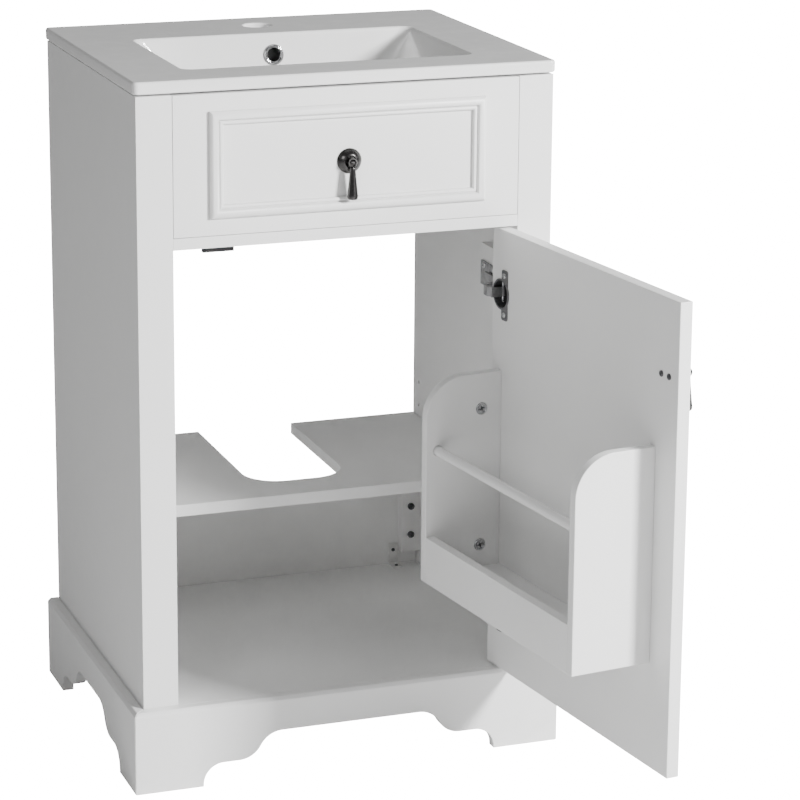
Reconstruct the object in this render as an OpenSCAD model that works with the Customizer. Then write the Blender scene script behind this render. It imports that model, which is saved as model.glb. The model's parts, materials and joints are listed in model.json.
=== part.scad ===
// Free-standing bathroom vanity cabinet with a ceramic sink top, a false drawer front,
// one inset door with a storage rack inside it, a cut-out shelf and a scrolled base.
// Millimetres. +Z is up, -Y is the front. The origin is on the floor, midway between the
// sides, under the middle of the closed door's thickness, which is also the bottom centre
// of the whole cabinet with its door open. The door is drawn closed and then turned open.

/* [Sink top] */
// Width of the sink top
top_w = 520; // [500:5:600]
// Depth of the sink top, front to back
top_d = 425; // [410:5:460]
// Thickness of the flat rim
top_t = 17; // [14:1:20]
// Width of the basin's mouth
basin_w = 360; // [300:5:400]
// Depth of the basin's mouth, front to back
basin_d = 226; // [180:2:240]
// Width of the rim in front of the basin
front_rim = 70; // [60:1:90]
// Depth of the basin below the rim
basin_drop = 115; // [90:5:130]
// Wall thickness of the ceramic
ceramic_t = 10; // [8:1:12]
// Diameter of the faucet hole
faucet_hole_d = 35; // [32:1:38]
// Diameter of the drain hole
drain_hole_d = 45; // [42:1:48]
// Diameter of the overflow hole
overflow_hole_d = 22; // [20:1:24]

/* [Carcass] */
// Height from the floor to the rim
total_h = 860; // [820:5:900]
// Width of the carcass
body_w = 514; // [494:2:590]
// Set-back of the carcass front behind the rim's front edge
front_inset = 2; // [0:1:10]
// Thickness of a side panel
side_t = 18; // [15:1:20]
// Thickness of a stile, the rail and the drawer front
frame_t = 18; // [16:1:20]
// Width of a stile
stile_w = 43; // [38:1:50]
// Thickness of the bottom board and the back parts
board_t = 15; // [12:1:18]
// Height of the rail between the drawer front and the door
rail_h = 14; // [12:1:20]
// Height of the drawer front's opening
drawer_h = 168; // [150:2:180]
// Top of the lower back panel above the floor
back_panel_top = 225; // [180:5:260]

/* [Base] */
// Height of the base boards
base_h = 103; // [95:1:115]
// Thickness of a base board
apron_t = 15; // [12:1:18]
// Width of a front foot, measured at the floor
front_foot_w = 85; // [75:1:95]
// Width of a side foot, measured at the floor
side_foot_w = 76; // [70:1:90]
// Height of the scrolled arch
arch_h = 60; // [50:1:68]
// Height of the scroll's lower step
step_h = 28; // [22:1:34]
// Size of the square blocks inside the feet
foot_block = 52; // [40:2:60]

/* [Door] */
// Thickness of the door
door_t = 16; // [15:1:18]
// Gap between the door and a stile
door_gap = 3.5; // [3:0.5:4]
// Gap above and below the door
door_gap_z = 2; // [1.5:0.5:3]
// Angle that the door stands open
open_angle = 97.2; // [0:0.1:105]
// Distance from the door's top or bottom edge to a hinge
hinge_inset_z = 79.5; // [70:0.5:95]
// Distance from the door's hinge edge to the hinge pin
pin_inset = 11; // [10.5:0.5:12]
// Distance from the door's outer face to the hinge pin
pin_depth = 7.5; // [7:0.1:8]

/* [Door rack] */
// Outer width of the rack
rack_w = 364; // [320:2:370]
// Depth of the rack from the door
rack_d = 102; // [80:1:104]
// Height of the rack's end boards
rack_h = 255; // [200:5:260]
// Underside of the rack above the floor
rack_z = 230; // [225:1:240]
// Thickness of the rack's boards
rack_t = 12; // [10:1:12]
// Height of the rack's front board
rack_front_h = 58; // [45:1:70]
// Radius of the end boards' top corners
rack_corner_r = 50; // [30:1:60]
// Diameter of the rack's rod
rod_d = 12; // [10:1:14]

/* [Shelf] */
// Underside of the shelf above the floor
shelf_z = 297; // [270:1:330]
// Depth of the shelf
shelf_d = 298; // [240:1:300]
// Width of the shelf's pipe cut-out
cutout_w = 128; // [100:2:160]
// Depth of the shelf's pipe cut-out
cutout_d = 242; // [180:2:250]
// Radius of the cut-out's corners
cutout_r = 45; // [20:1:50]

/* [Pulls] */
// Diameter of a pull's rosette
rosette_d = 30; // [26:1:34]
// Length of a pendant below its pin
pendant_l = 44; // [36:1:50]
// Distance from the door's free edge to its pull
door_pull_inset = 27; // [24:1:30]
// Height of the door's pull above the floor
door_pull_z = 571; // [540:1:600]

/* [Hidden] */

$fn = 96;
eps = 0.01;

// Main planes
front_y = -door_t / 2;
top_front = front_y - front_inset;
back_y = top_front + top_d;
frame_back = front_y + frame_t;
half_body = body_w / 2;
side_in = half_body - side_t;
opening_half = half_body - stile_w;
carcass_top = total_h - top_t;
rail_top = carcass_top - drawer_h;
rail_bottom = rail_top - rail_h;
back_in = back_y - board_t;
wall_screw_x = side_in - 59;
wall_screw_r = 3;

// Base boards
half_base = half_body + apron_t;
apron_front = front_y - apron_t;
apron_edge = 4;
toe_h = 3;
toe_r = step_h - toe_h;
step_flat = 20;
ogee_run = 54;
ogee_angle = 2 * atan((arch_h - step_h) / ogee_run);
ogee_r = (arch_h - step_h) / (2 * (1 - cos(ogee_angle)));

// Basin
basin_front = top_front + front_rim;
basin_back = basin_front + basin_d;
basin_floor_z = total_h - basin_drop;
basin_floor_w = basin_w - 150;
basin_floor_front = basin_front + 34;
basin_floor_back = basin_back - 16;
drain_y = (basin_floor_front + basin_floor_back) / 2 + 10;
faucet_y = (basin_back + back_y) / 2;
overflow_z = total_h - 27;
back_lean = atan((basin_back - basin_floor_back) / basin_drop);
overflow_y = basin_back - (total_h - overflow_z) * tan(back_lean);

// Door, drawn closed
door_l = -opening_half + door_gap;
door_r = opening_half - door_gap;
door_in = front_y + door_t;
door_bottom = base_h + door_gap_z;
door_top = rail_bottom - door_gap_z;
pin_x = door_r - pin_inset;
pin_y = front_y + pin_depth;
hinge_zs = [door_bottom + hinge_inset_z, door_top - hinge_inset_z];

// Concealed hinges
cup_x = door_r - 22.5;
cup_r = 17.5;
cup_depth = 12.4;
cup_wall = 0.8;
flange_t = 1.2;
flange_screw_x = door_r - 31.5;
flange_screw_dz = 24;
hinge_pin_r = 1.5;
arm_h = 12;
arm_half_t = 1.6;
hinge_block_d = 100;
hinge_plate_t = 2.5;
hinge_plate_z = 15;
hinge_screw_dz = 10.6;
hinge_screw_ys = [front_y + 72, front_y + 100];

// Door rack, drawn with the door closed
rack_hinge_x = door_r - 14.5;
rack_free_x = rack_hinge_x - rack_w;
rack_face = door_in + rack_d;
rack_end_xs = [rack_hinge_x - rack_t, rack_free_x];
rack_floor_t = 10;
rod_y = door_in + rack_d - 16;
rod_z = rack_z + 165;
rod_seat = 8;
rod_play = 0.06;
cam_r = 7.5;
cam_t = 8;
cam_w = 27;
cam_zs = [rack_z + 38, rack_z + 211];
cam_bolt_r = 3;

// Shelf
shelf_t = 15;
shelf_back = back_y - 2;
shelf_front = shelf_back - shelf_d;
pin_r = 2.5;
pin_ys = [shelf_front + 32, shelf_back - 20];
pin_pitch = 32;

// Moulding on the drawer front and the door: [distance from the outer edge, height]
moulding_w = 16;
moulding_profile = [
    [0, 0], [0, 3.6], [0.4, 4.4], [1.2, 5.4], [2.2, 6.3], [3.4, 7.1], [4.8, 7.7], [6.2, 8],
    [7.5, 7.9], [8.7, 7.4], [9.6, 6.5], [10.3, 5.2], [10.7, 3], [11.3, 3], [11.7, 4],
    [12.5, 4.8], [13.4, 5], [14.4, 4.8], [15.2, 4.2], [16, 3], [16, 0]
];
drawer_front_z = (rail_top + carcass_top) / 2;
drawer_moulding = [2 * opening_half - 88, drawer_h - 42];
door_z = (door_bottom + door_top) / 2;
door_moulding_size = [door_r - door_l - 95, door_top - door_bottom - 90];

// Pulls
post_l = 13;
ball_r = 5.4;
slot_w = 3.6;
pull_pin_r = 1.1;
pull_screw_dx = 8;
door_pull_x = door_l + door_pull_inset;
drawer_pull_z = drawer_front_z - 5;

// A flat board between two corners
module board(low, high) {
    translate(low) cube(high - low);
}

// Left and right copies of a part drawn on the right
module both_sides() {
    children();
    mirror([1, 0, 0]) children();
}

// Turns what belongs to the door from closed to its resting, open position
module door_turned() {
    translate([pin_x, pin_y, 0])
        rotate([0, 0, open_angle])
            translate([-pin_x, -pin_y, 0]) children();
}

// Points along an arc, both ends included
function arc(centre, r, from, to, steps) =
    [for (i = [0:steps]) centre + r * [cos(from + (to - from) * i / steps),
                                       sin(from + (to - from) * i / steps)]];

// A rectangle with round corners
module round_rect(size, r) {
    for (sx = [-1, 1], sy = [-1, 1])
        translate([sx * (size[0] / 2 - r), sy * (size[1] / 2 - r)]) circle(r);
    square([size[0] - 2 * r, size[1]], center = true);
    square([size[0], size[1] - 2 * r], center = true);
}

// ---- Sink top ----

// The basin's space, grown outwards by grow
module basin_space(grow, top_z, floor_z) {
    mouth_y = (basin_front + basin_back) / 2;
    floor_y = (basin_floor_front + basin_floor_back) / 2;
    floor_d = basin_floor_back - basin_floor_front;
    hull() {
        translate([0, mouth_y, top_z])
            linear_extrude(1)
                round_rect([basin_w + 2 * grow, basin_d + 2 * grow], 12 + grow, $fn = 32);
        translate([0, floor_y, floor_z])
            linear_extrude(1)
                round_rect([basin_floor_w + 2 * grow, floor_d + 2 * grow], 30 + grow, $fn = 32);
    }
}

// Where the overflow leaves the basin's back wall, +Z pointing out of the wall
module at_overflow() {
    translate([0, overflow_y, overflow_z]) rotate([90 - back_lean, 0, 0]) children();
}

module sink_top() {
    color("white") difference() {
        union() {
            translate([0, top_front + top_d / 2, carcass_top])
                linear_extrude(top_t) round_rect([top_w, top_d], 6);
            basin_space(ceramic_t, carcass_top, basin_floor_z - ceramic_t);
            // Drain boss and overflow duct on the underside
            translate([0, drain_y, basin_floor_z - ceramic_t - 6]) cylinder(r = 34, h = 10);
            board([-24, basin_back - 8, overflow_z - 62], [24, basin_back + 20, carcass_top + 1]);
        }
        basin_space(0, total_h, basin_floor_z);
        translate([0, faucet_y, carcass_top - 1]) cylinder(d = faucet_hole_d, h = top_t + 2);
        translate([0, drain_y, basin_floor_z - 30]) cylinder(d = drain_hole_d, h = 40);
        at_overflow() translate([0, 0, -12]) cylinder(d = overflow_hole_d, h = 20);
        board([-17, basin_back + 7, overflow_z - 54], [17, basin_back + 13, overflow_z + 8]);
    }
}

module overflow_ring() {
    color("silver") at_overflow() rotate_extrude() {
        translate([8.6, -8]) square([overflow_hole_d / 2 - 8.8, 9]);
        translate([8.6, 0]) square([4.4, 1.4]);
        translate([10.8, 1.4]) circle(1.4);
    }
}

// ---- Carcass ----

// Right side panel, with blind holes for the shelf pins
module right_panel() {
    difference() {
        board([side_in, frame_back, base_h], [half_body, back_y, carcass_top]);
        for (y = pin_ys, k = [-1:2])
            translate([side_in - 1, y, shelf_z - pin_r + k * pin_pitch])
                rotate([0, 90, 0]) cylinder(r = pin_r + 0.05, h = 11);
    }
}

module right_side_panel() { color("gainsboro") right_panel(); }
module left_side_panel() { color("gainsboro") mirror([1, 0, 0]) right_panel(); }

module right_stile_board() {
    board([opening_half, front_y, base_h], [half_body, frame_back, carcass_top]);
}

module right_stile() { color("whitesmoke") right_stile_board(); }
module left_stile() { color("whitesmoke") mirror([1, 0, 0]) right_stile_board(); }

module front_rail() {
    color("whitesmoke")
        board([-opening_half, front_y, rail_bottom], [opening_half, frame_back, rail_top]);
}

// The false drawer front is fixed: the basin is behind it
module drawer_front() {
    joint = 0.6;
    color("whitesmoke") difference() {
        board([-opening_half + joint, front_y, rail_top + joint],
              [opening_half - joint, frame_back, carcass_top - joint]);
        pull_screw_holes(0, drawer_pull_z, frame_t);
    }
}

module drawer_front_moulding() {
    color("white") translate([0, front_y, drawer_front_z]) moulding_frame(drawer_moulding);
}

// Blocks glued behind the drawer front's ends
module drawer_front_blocks() {
    color("burlywood") both_sides()
        board([opening_half - 24, frame_back, rail_top + 12],
              [side_in, frame_back + 24, carcass_top - 30]);
}

module top_stretcher() {
    color("gainsboro")
        board([-side_in, frame_back, carcass_top - 18], [side_in, frame_back + 34, carcass_top]);
}

// Rail that fastens the cabinet to the wall
module upper_back_rail() {
    color("gainsboro") difference() {
        board([-side_in, back_in, carcass_top - 80], [side_in, back_y, carcass_top]);
        for (s = [-1, 1]) translate([s * wall_screw_x, back_in - 1, carcass_top - 40])
            rotate([-90, 0, 0]) cylinder(r = wall_screw_r, h = board_t + 2);
    }
}

module lower_back_panel() {
    color("gainsboro") board([-side_in, back_in, base_h], [side_in, back_y, back_panel_top]);
}

cleat_w = 26;
cleat_t = 15;
cleat_zs = [back_panel_top - 78, back_panel_top - 38];

// Upright cleats that fasten the lower back panel to the side panels
module back_cleats() {
    color("gainsboro") both_sides() difference() {
        board([side_in - cleat_w, back_in - cleat_t, base_h + 20],
              [side_in, back_in, back_panel_top - 3]);
        for (z = cleat_zs)
            translate([side_in - cleat_w / 2, back_in - cleat_t - 1, z])
                rotate([-90, 0, 0]) cylinder(r = 3.1, h = cleat_t + 2);
    }
}

module back_cleat_bolts() {
    color("dimgray") both_sides() for (z = cleat_zs)
        translate([side_in - cleat_w / 2, back_in, z]) rotate([90, 0, 0]) {
            cylinder(r = 3, h = cleat_t);
            translate([0, 0, cleat_t]) difference() {
                cylinder(r = 4.6, h = 3);
                translate([0, 0, 1]) cylinder(r = 2.4, h = 3, $fn = 6);
            }
        }
}

bracket_x = side_in - cleat_w - 7.5;

// Small moulded angles between the lower back panel and the bottom board
module back_brackets() {
    color("whitesmoke") both_sides() {
        board([bracket_x - 7, back_in - 2, base_h], [bracket_x + 7, back_in, base_h + 30]);
        board([bracket_x - 7, back_in - 22, base_h], [bracket_x + 7, back_in - 2, base_h + 2]);
    }
}

module back_bracket_screws() {
    color("dimgray") both_sides() {
        translate([bracket_x, back_in - 2, base_h + 20]) rotate([90, 0, 0]) cylinder(r = 3, h = 1.6);
        translate([bracket_x, back_in - 14, base_h + 2]) cylinder(r = 3, h = 1.6);
    }
}

// The bottom board carries the side panels, the stiles and the lower back panel
module bottom_board() {
    color("gainsboro")
        board([-half_body, front_y, base_h - board_t], [half_body, back_y, base_h]);
}

// ---- Base ----

// Half of the space under a scrolled board, from its middle to the foot
function half_scroll(foot_x) =
    let (top_x = foot_x - toe_r - step_flat - ogee_run,
         low_x = foot_x - toe_r - step_flat)
    concat(
        [[0, -1], [0, arch_h]],
        arc([top_x, arch_h - ogee_r], ogee_r, 90, 90 - ogee_angle, 12),
        arc([low_x, step_h + ogee_r], ogee_r, 270 - ogee_angle, 270, 12),
        arc([foot_x - toe_r, toe_h], toe_r, 90, 0, 16),
        [[foot_x, -1]]);

// A scrolled board standing on its feet, centred, its outer face at y = 0
module scrolled_board(length, foot_w) {
    foot_x = length / 2 - foot_w;
    translate([0, apron_t, 0]) rotate([90, 0, 0]) linear_extrude(apron_t)
        difference() {
            translate([-length / 2, 0]) square([length, base_h]);
            polygon(half_scroll(foot_x));
            mirror([1, 0]) polygon(half_scroll(foot_x));
        }
}

// Takes the sharp edge off a board's outer top corner, along X
module edge_cut(length) {
    translate([0, 0, base_h]) rotate([45, 0, 0])
        cube([length + 2, apron_edge * sqrt(2), apron_edge * sqrt(2)], center = true);
}

// Front board, mitred to the side boards
module front_apron() {
    color("whitesmoke") intersection() {
        translate([0, apron_front, 0]) difference() {
            scrolled_board(2 * half_base, front_foot_w);
            edge_cut(2 * half_base);
        }
        linear_extrude(base_h)
            polygon([[-half_base, apron_front], [half_base, apron_front],
                     [half_body, front_y], [-half_body, front_y]]);
    }
}

module left_apron_board() {
    length = back_y - apron_front;
    intersection() {
        translate([-half_base, (back_y + apron_front) / 2, 0]) rotate([0, 0, -90])
            difference() {
                scrolled_board(length, side_foot_w);
                edge_cut(length);
            }
        linear_extrude(base_h)
            polygon([[-half_base, apron_front], [-half_body, front_y],
                     [-half_body, back_y], [-half_base, back_y]]);
    }
}

module left_apron() { color("gainsboro") left_apron_board(); }
module right_apron() { color("gainsboro") mirror([1, 0, 0]) left_apron_board(); }

module base_back_rail() {
    color("gainsboro")
        board([-half_body + foot_block, back_in, arch_h],
              [half_body - foot_block, back_y, base_h - board_t]);
}

// Square blocks that fill the corners of the base and stand on the floor
module foot_blocks() {
    color("burlywood") both_sides() for (y = [front_y, back_y - foot_block])
        board([half_body - foot_block, y, 0], [half_body, y + foot_block, base_h - board_t]);
}

// ---- Shelf ----

module shelf() {
    cut_y = shelf_back - cutout_d;
    color("whitesmoke") difference() {
        board([-side_in + 1, shelf_front, shelf_z], [side_in - 1, shelf_back, shelf_z + shelf_t]);
        for (s = [-1, 1])
            translate([s * (cutout_w / 2 - cutout_r), cut_y + cutout_r, shelf_z - 1])
                cylinder(r = cutout_r, h = shelf_t + 2);
        board([-cutout_w / 2, cut_y + cutout_r, shelf_z - 1],
              [cutout_w / 2, shelf_back + 1, shelf_z + shelf_t + 1]);
        board([-cutout_w / 2 + cutout_r, cut_y, shelf_z - 1],
              [cutout_w / 2 - cutout_r, cut_y + cutout_r + 1, shelf_z + shelf_t + 1]);
    }
}

// Steel pins under the shelf, pushed into the side panels
module shelf_pins() {
    color("silver") both_sides() for (y = pin_ys)
        translate([side_in - 9, y, shelf_z - pin_r]) rotate([0, 90, 0]) {
            cylinder(r = pin_r - 0.2, h = 18);
            translate([0, 0, 8]) cylinder(r = pin_r + 1.5, h = 1);
        }
}

// ---- Door stop ----

stop_x = -opening_half + 59;

// Moulded stop behind the rail that the closed door meets
module door_stop() {
    color("black") {
        board([stop_x - 19, frame_back, rail_bottom - 9], [stop_x + 19, frame_back + 5, rail_top]);
        board([stop_x - 19, door_in + 0.3, rail_bottom - 9],
              [stop_x + 19, frame_back, rail_bottom - 0.5]);
    }
}

module door_stop_screws() {
    color("dimgray") for (dx = [-12, 12])
        translate([stop_x + dx, frame_back + 5, rail_bottom + 7])
            rotate([-90, 0, 0]) cylinder(r = 3, h = 1.8);
}

// ---- Hinges ----

// Blocks behind the right stile that bring the hinge plates out to the opening's edge
module hinge_blocks() {
    color("gainsboro") for (z = hinge_zs)
        board([opening_half, frame_back, z - 30], [side_in, front_y + 18 + hinge_block_d, z + 36]);
}

// The fixed arm's middle line in plan, from the plate round the door's edge to the pin
arm_line = [
    [opening_half - 6, front_y + 86], [opening_half - 6, front_y + 44],
    [pin_x - 6, pin_y + 27], [pin_x - 17, pin_y + 16], [pin_x - 17, pin_y + 6],
    [pin_x - 11, pin_y - 0.5], [pin_x, pin_y]
];

// One side of a strip of even thickness along a line, d to the left of it
function unit(v) = v / norm(v);
function left_of(v) = [-v[1], v[0]];
function strip_side(line, d) = [
    for (i = [0:len(line) - 1])
        let (j = max(i, 1), k = min(i, len(line) - 2),
             before = unit(line[j] - line[j - 1]),
             after = unit(line[k + 1] - line[k]),
             out = left_of(unit(before + after)))
        line[i] + out * d / (out * left_of(before))
];
function reversed(list) = [for (i = [len(list) - 1:-1:0]) list[i]];

module hinge_arms() {
    color("dimgray") for (z = hinge_zs) translate([0, 0, z]) {
        difference() {
            linear_extrude(arm_h, center = true) {
                polygon(concat(strip_side(arm_line, arm_half_t),
                               reversed(strip_side(arm_line, -arm_half_t))));
                translate([pin_x, pin_y]) circle(2.6);
            }
            translate([pin_x, pin_y, -arm_h]) cylinder(r = hinge_pin_r + 0.05, h = 2 * arm_h);
        }
        // Mounting plate, with the screws above the arm
        board([opening_half - hinge_plate_t, front_y + 56, -hinge_plate_z],
              [opening_half, front_y + 112, hinge_plate_z]);
        board([opening_half - 5, front_y + 60, 1 - arm_h / 2],
              [opening_half - hinge_plate_t + 1, front_y + 84, arm_h / 2 - 1]);
    }
}

module hinge_arm_screws() {
    color("silver") for (z = hinge_zs, y = hinge_screw_ys)
        translate([opening_half - hinge_plate_t, y, z + hinge_screw_dz])
            rotate([0, -90, 0]) cylinder(r = 4, h = 2);
}

// Pins across the cups, on the door's turning axis
module hinge_pins() {
    color("silver") door_turned() for (z = hinge_zs)
        translate([pin_x, pin_y, z]) cylinder(r = hinge_pin_r, h = 22, center = true);
}

// Pressed cups let into the door, with their screw flanges
module hinge_cups() {
    color("dimgray") door_turned() for (z = hinge_zs) translate([cup_x, door_in, z]) {
        difference() {
            rotate([90, 0, 0]) cylinder(r = cup_r - 0.1, h = cup_depth);
            translate([0, 1, 0]) rotate([90, 0, 0])
                cylinder(r = cup_r - cup_wall, h = cup_depth - cup_wall + 1);
            translate([pin_x - cup_x, pin_y - door_in, 0])
                cylinder(r = hinge_pin_r, h = 30, center = true);
        }
        rotate([-90, 0, 0]) linear_extrude(flange_t) difference() {
            union() {
                intersection() {
                    circle(cup_r + 1.5);
                    translate([-cup_r - 1.5, -20]) square([2 * cup_r + 3, 40]);
                }
                translate([flange_screw_x - cup_x, 0]) round_rect([14, 62], 3);
            }
            circle(cup_r - cup_wall);
            for (s = [-1, 1])
                translate([flange_screw_x - cup_x, s * flange_screw_dz]) circle(2.1);
        }
    }
}

module hinge_cup_screws() {
    color("silver") door_turned() for (z = hinge_zs, s = [-1, 1])
        translate([flange_screw_x, door_in, z + s * flange_screw_dz]) rotate([-90, 0, 0]) {
            translate([0, 0, -10]) cylinder(r = 1.9, h = 10 + flange_t);
            translate([0, 0, flange_t]) cylinder(r = 3.4, h = 1.6);
        }
}

// ---- Door ----

module door_panel() {
    color("whitesmoke") door_turned() difference() {
        board([door_l, front_y, door_bottom], [door_r, door_in, door_top]);
        for (z = hinge_zs) {
            translate([cup_x, door_in + 1, z]) rotate([90, 0, 0]) cylinder(r = cup_r, h = cup_depth + 1);
            for (s = [-1, 1])
                translate([flange_screw_x, door_in + 1, z + s * flange_screw_dz])
                    rotate([90, 0, 0]) cylinder(r = 2, h = 12);
        }
        for (x = rack_end_xs, z = cam_zs)
            translate([x + rack_t / 2, door_in + 1, z]) rotate([90, 0, 0])
                cylinder(r = cam_bolt_r + 0.05, h = 12);
        pull_screw_holes(door_pull_x, door_pull_z, door_t);
    }
}

module door_moulding() {
    color("white") door_turned()
        translate([0, front_y, door_z]) moulding_frame(door_moulding_size);
}

// Four mitred lengths of moulding round a rectangle, standing out towards -Y
module moulding_frame(size) {
    for (s = [0, 1]) mirror([0, 0, s]) translate([0, 0, size[1] / 2]) moulding_length(size[0]);
    for (s = [0, 1]) mirror([s, 0, 0])
        translate([size[0] / 2, 0, 0]) rotate([0, 90, 0]) moulding_length(size[1]);
}

// One length along X, its outer edge at z = 0, with mitred ends
module moulding_length(length) {
    intersection() {
        rotate([90, 0, 90]) linear_extrude(length, center = true)
            polygon([for (p = moulding_profile) [-p[1], -p[0]]]);
        rotate([90, 0, 0]) linear_extrude(30, center = true)
            polygon([[-length / 2, 0], [length / 2, 0],
                     [length / 2 - moulding_w, -moulding_w],
                     [moulding_w - length / 2, -moulding_w]]);
    }
}

// ---- Door rack ----

// End board outline: x from the door, y up
module rack_end_outline() {
    difference() {
        square([rack_d, rack_h]);
        translate([rack_d - rack_corner_r, rack_h - rack_corner_r])
            square(rack_corner_r + 1);
    }
    translate([rack_d - rack_corner_r, rack_h - rack_corner_r]) circle(rack_corner_r);
}

// End board whose inner face looks along +X (side = 1) or -X (side = -1)
module rack_end(x, side) {
    inner = side > 0 ? x + rack_t : x;
    difference() {
        translate([x, door_in, rack_z]) rotate([90, 0, 90]) linear_extrude(rack_t)
            rack_end_outline();
        translate([inner, rod_y, rod_z]) rotate([0, 90, 0])
            cylinder(r = rod_d / 2 + rod_play, h = 2 * rod_seat, center = true);
        for (z = cam_zs) {
            translate([inner, door_in + cam_w, z]) rotate([0, 90, 0])
                cylinder(r = cam_r + 0.05, h = 2 * cam_t, center = true);
            translate([x + rack_t / 2, door_in - 1, z]) rotate([-90, 0, 0])
                cylinder(r = cam_bolt_r + 0.05, h = cam_w - cam_r + 3);
        }
    }
}

module rack_hinge_end() { color("whitesmoke") door_turned() rack_end(rack_end_xs[0], -1); }
module rack_free_end() { color("whitesmoke") door_turned() rack_end(rack_end_xs[1], 1); }

rack_in = [rack_free_x + rack_t, rack_hinge_x - rack_t];

module rack_tray() {
    color("gainsboro") door_turned()
        board([rack_in[0], door_in, rack_z], [rack_in[1], rack_face - rack_t, rack_z + rack_floor_t]);
}

module rack_front_board() {
    color("whitesmoke") door_turned()
        board([rack_in[0], rack_face - rack_t, rack_z], [rack_in[1], rack_face, rack_z + rack_front_h]);
}

// A loose wooden rod across the rack
module rack_rod() {
    end_gap = 0.5;
    length = rack_in[1] - rack_in[0] + 2 * (rod_seat - end_gap);
    color("whitesmoke") door_turned()
        translate([rack_in[0] - rod_seat + end_gap, rod_y, rod_z])
            rotate([0, 90, 0]) cylinder(d = rod_d, h = length);
}

// Cam locks that draw the end boards onto bolts in the door
module rack_cams() {
    color("silver") door_turned() for (z = cam_zs) {
        translate([rack_in[1], door_in + cam_w, z]) rotate([0, 90, 0]) rack_cam();
        translate([rack_in[0], door_in + cam_w, z]) rotate([0, -90, 0]) rack_cam();
    }
}

module rack_cam() {
    difference() {
        translate([0, 0, -0.6]) cylinder(r = cam_r - 0.05, h = cam_t + 0.4);
        for (a = [45, 135]) rotate(a) cube([8, 1.6, 3.4], center = true);
    }
}

module rack_cam_bolts() {
    color("silver") door_turned() for (x = rack_end_xs, z = cam_zs)
        translate([x + rack_t / 2, door_in - 10, z]) rotate([-90, 0, 0])
            cylinder(r = cam_bolt_r, h = 10 + cam_w - cam_r - 0.3);
}

// ---- Pulls, drawn round the point where the rosette meets the wood ----

module rosette() {
    difference() {
        union() {
            rotate([90, 0, 0]) rotate_extrude() polygon(concat(
                [[0, 0], [rosette_d / 2, 0], [rosette_d / 2, 1.2]],
                arc([0, -9.3], 17.9, 36, 66, 12),
                [[6.8, 6.9], [6.3, 6.4], [6.1, 3.6], [0, 3.6]]));
            rotate([90, 0, 0]) cylinder(r = 3.6, h = post_l);
            translate([0, -post_l, 0]) sphere(ball_r);
        }
        // Slot for the pendant's eye, open to the front and below
        translate([-slot_w / 2, -post_l - 10, -10]) cube([slot_w, 14, 14.2]);
        translate([0, -post_l, 0]) rotate([0, 90, 0])
            cylinder(r = pull_pin_r, h = 20, center = true);
        for (s = [-1, 1]) translate([s * pull_screw_dx, 1, 0]) rotate([90, 0, 0])
            cylinder(r = 2, h = 4);
    }
}

module pull_pin() {
    translate([0, -post_l, 0]) rotate([0, 90, 0])
        cylinder(r = pull_pin_r, h = 2 * ball_r - 1.4, center = true);
}

// Tapered pendant hanging from an eye
module pendant() {
    eye_r = 3.4;
    drop_r = 6.4;
    translate([0, -post_l, 0]) difference() {
        union() {
            rotate([0, 90, 0]) cylinder(r = eye_r, h = slot_w - 0.6, center = true);
            rotate_extrude() polygon(concat(
                [[0, -2.2], [1.5, -2.2], [1.5, -5.9], [2.6, -6.1], [3, -6.8], [3.2, -10],
                 [3.6, -16], [4.3, -23], [5.2, -30], [drop_r, 7 - pendant_l]],
                arc([drop_r - 3.4, 3.6 - pendant_l], 3.6, 0, -90, 10),
                [[0, -pendant_l]]));
        }
        rotate([0, 90, 0]) cylinder(r = pull_pin_r + 0.06, h = 20, center = true);
    }
}

// Two machine screws from behind, their heads on the wood's inner face
module pull_screws(t) {
    for (s = [-1, 1]) translate([s * pull_screw_dx, 0, 0]) rotate([-90, 0, 0]) {
        translate([0, 0, -1.9]) cylinder(r = 1.9, h = t + 1.9);
        translate([0, 0, t]) cylinder(r = 3.8, h = 1.6);
    }
}

module pull_screw_holes(x, z, t) {
    for (s = [-1, 1]) translate([x + s * pull_screw_dx, front_y - 1, z]) rotate([-90, 0, 0])
        cylinder(r = 2, h = t + 2);
}

module at_drawer_pull() { translate([0, front_y, drawer_pull_z]) children(); }
module at_door_pull() { door_turned() translate([door_pull_x, front_y, door_pull_z]) children(); }

module drawer_pull_rosette() { color("dimgray") at_drawer_pull() rosette(); }
module drawer_pull_pin() { color("dimgray") at_drawer_pull() pull_pin(); }
module drawer_pull_pendant() { color("dimgray") at_drawer_pull() pendant(); }
module drawer_pull_screws() { color("silver") at_drawer_pull() pull_screws(frame_t); }
module door_pull_rosette() { color("dimgray") at_door_pull() rosette(); }
module door_pull_pin() { color("dimgray") at_door_pull() pull_pin(); }
module door_pull_pendant() { color("dimgray") at_door_pull() pendant(); }
module door_pull_screws() { color("dimgray") at_door_pull() pull_screws(door_t); }

sink_top();
overflow_ring();
left_side_panel();
right_side_panel();
left_stile();
right_stile();
front_rail();
drawer_front();
drawer_front_moulding();
drawer_front_blocks();
top_stretcher();
upper_back_rail();
lower_back_panel();
back_cleats();
back_cleat_bolts();
back_brackets();
back_bracket_screws();
bottom_board();
front_apron();
left_apron();
right_apron();
base_back_rail();
foot_blocks();
shelf();
shelf_pins();
door_stop();
door_stop_screws();
hinge_blocks();
hinge_arms();
hinge_arm_screws();
hinge_pins();
hinge_cups();
hinge_cup_screws();
door_panel();
door_moulding();
rack_hinge_end();
rack_free_end();
rack_tray();
rack_front_board();
rack_rod();
rack_cams();
rack_cam_bolts();
drawer_pull_rosette();
drawer_pull_pin();
drawer_pull_pendant();
drawer_pull_screws();
door_pull_rosette();
door_pull_pin();
door_pull_pendant();
door_pull_screws();
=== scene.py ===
import json
import math

import bpy
from mathutils import Matrix, Vector

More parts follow.
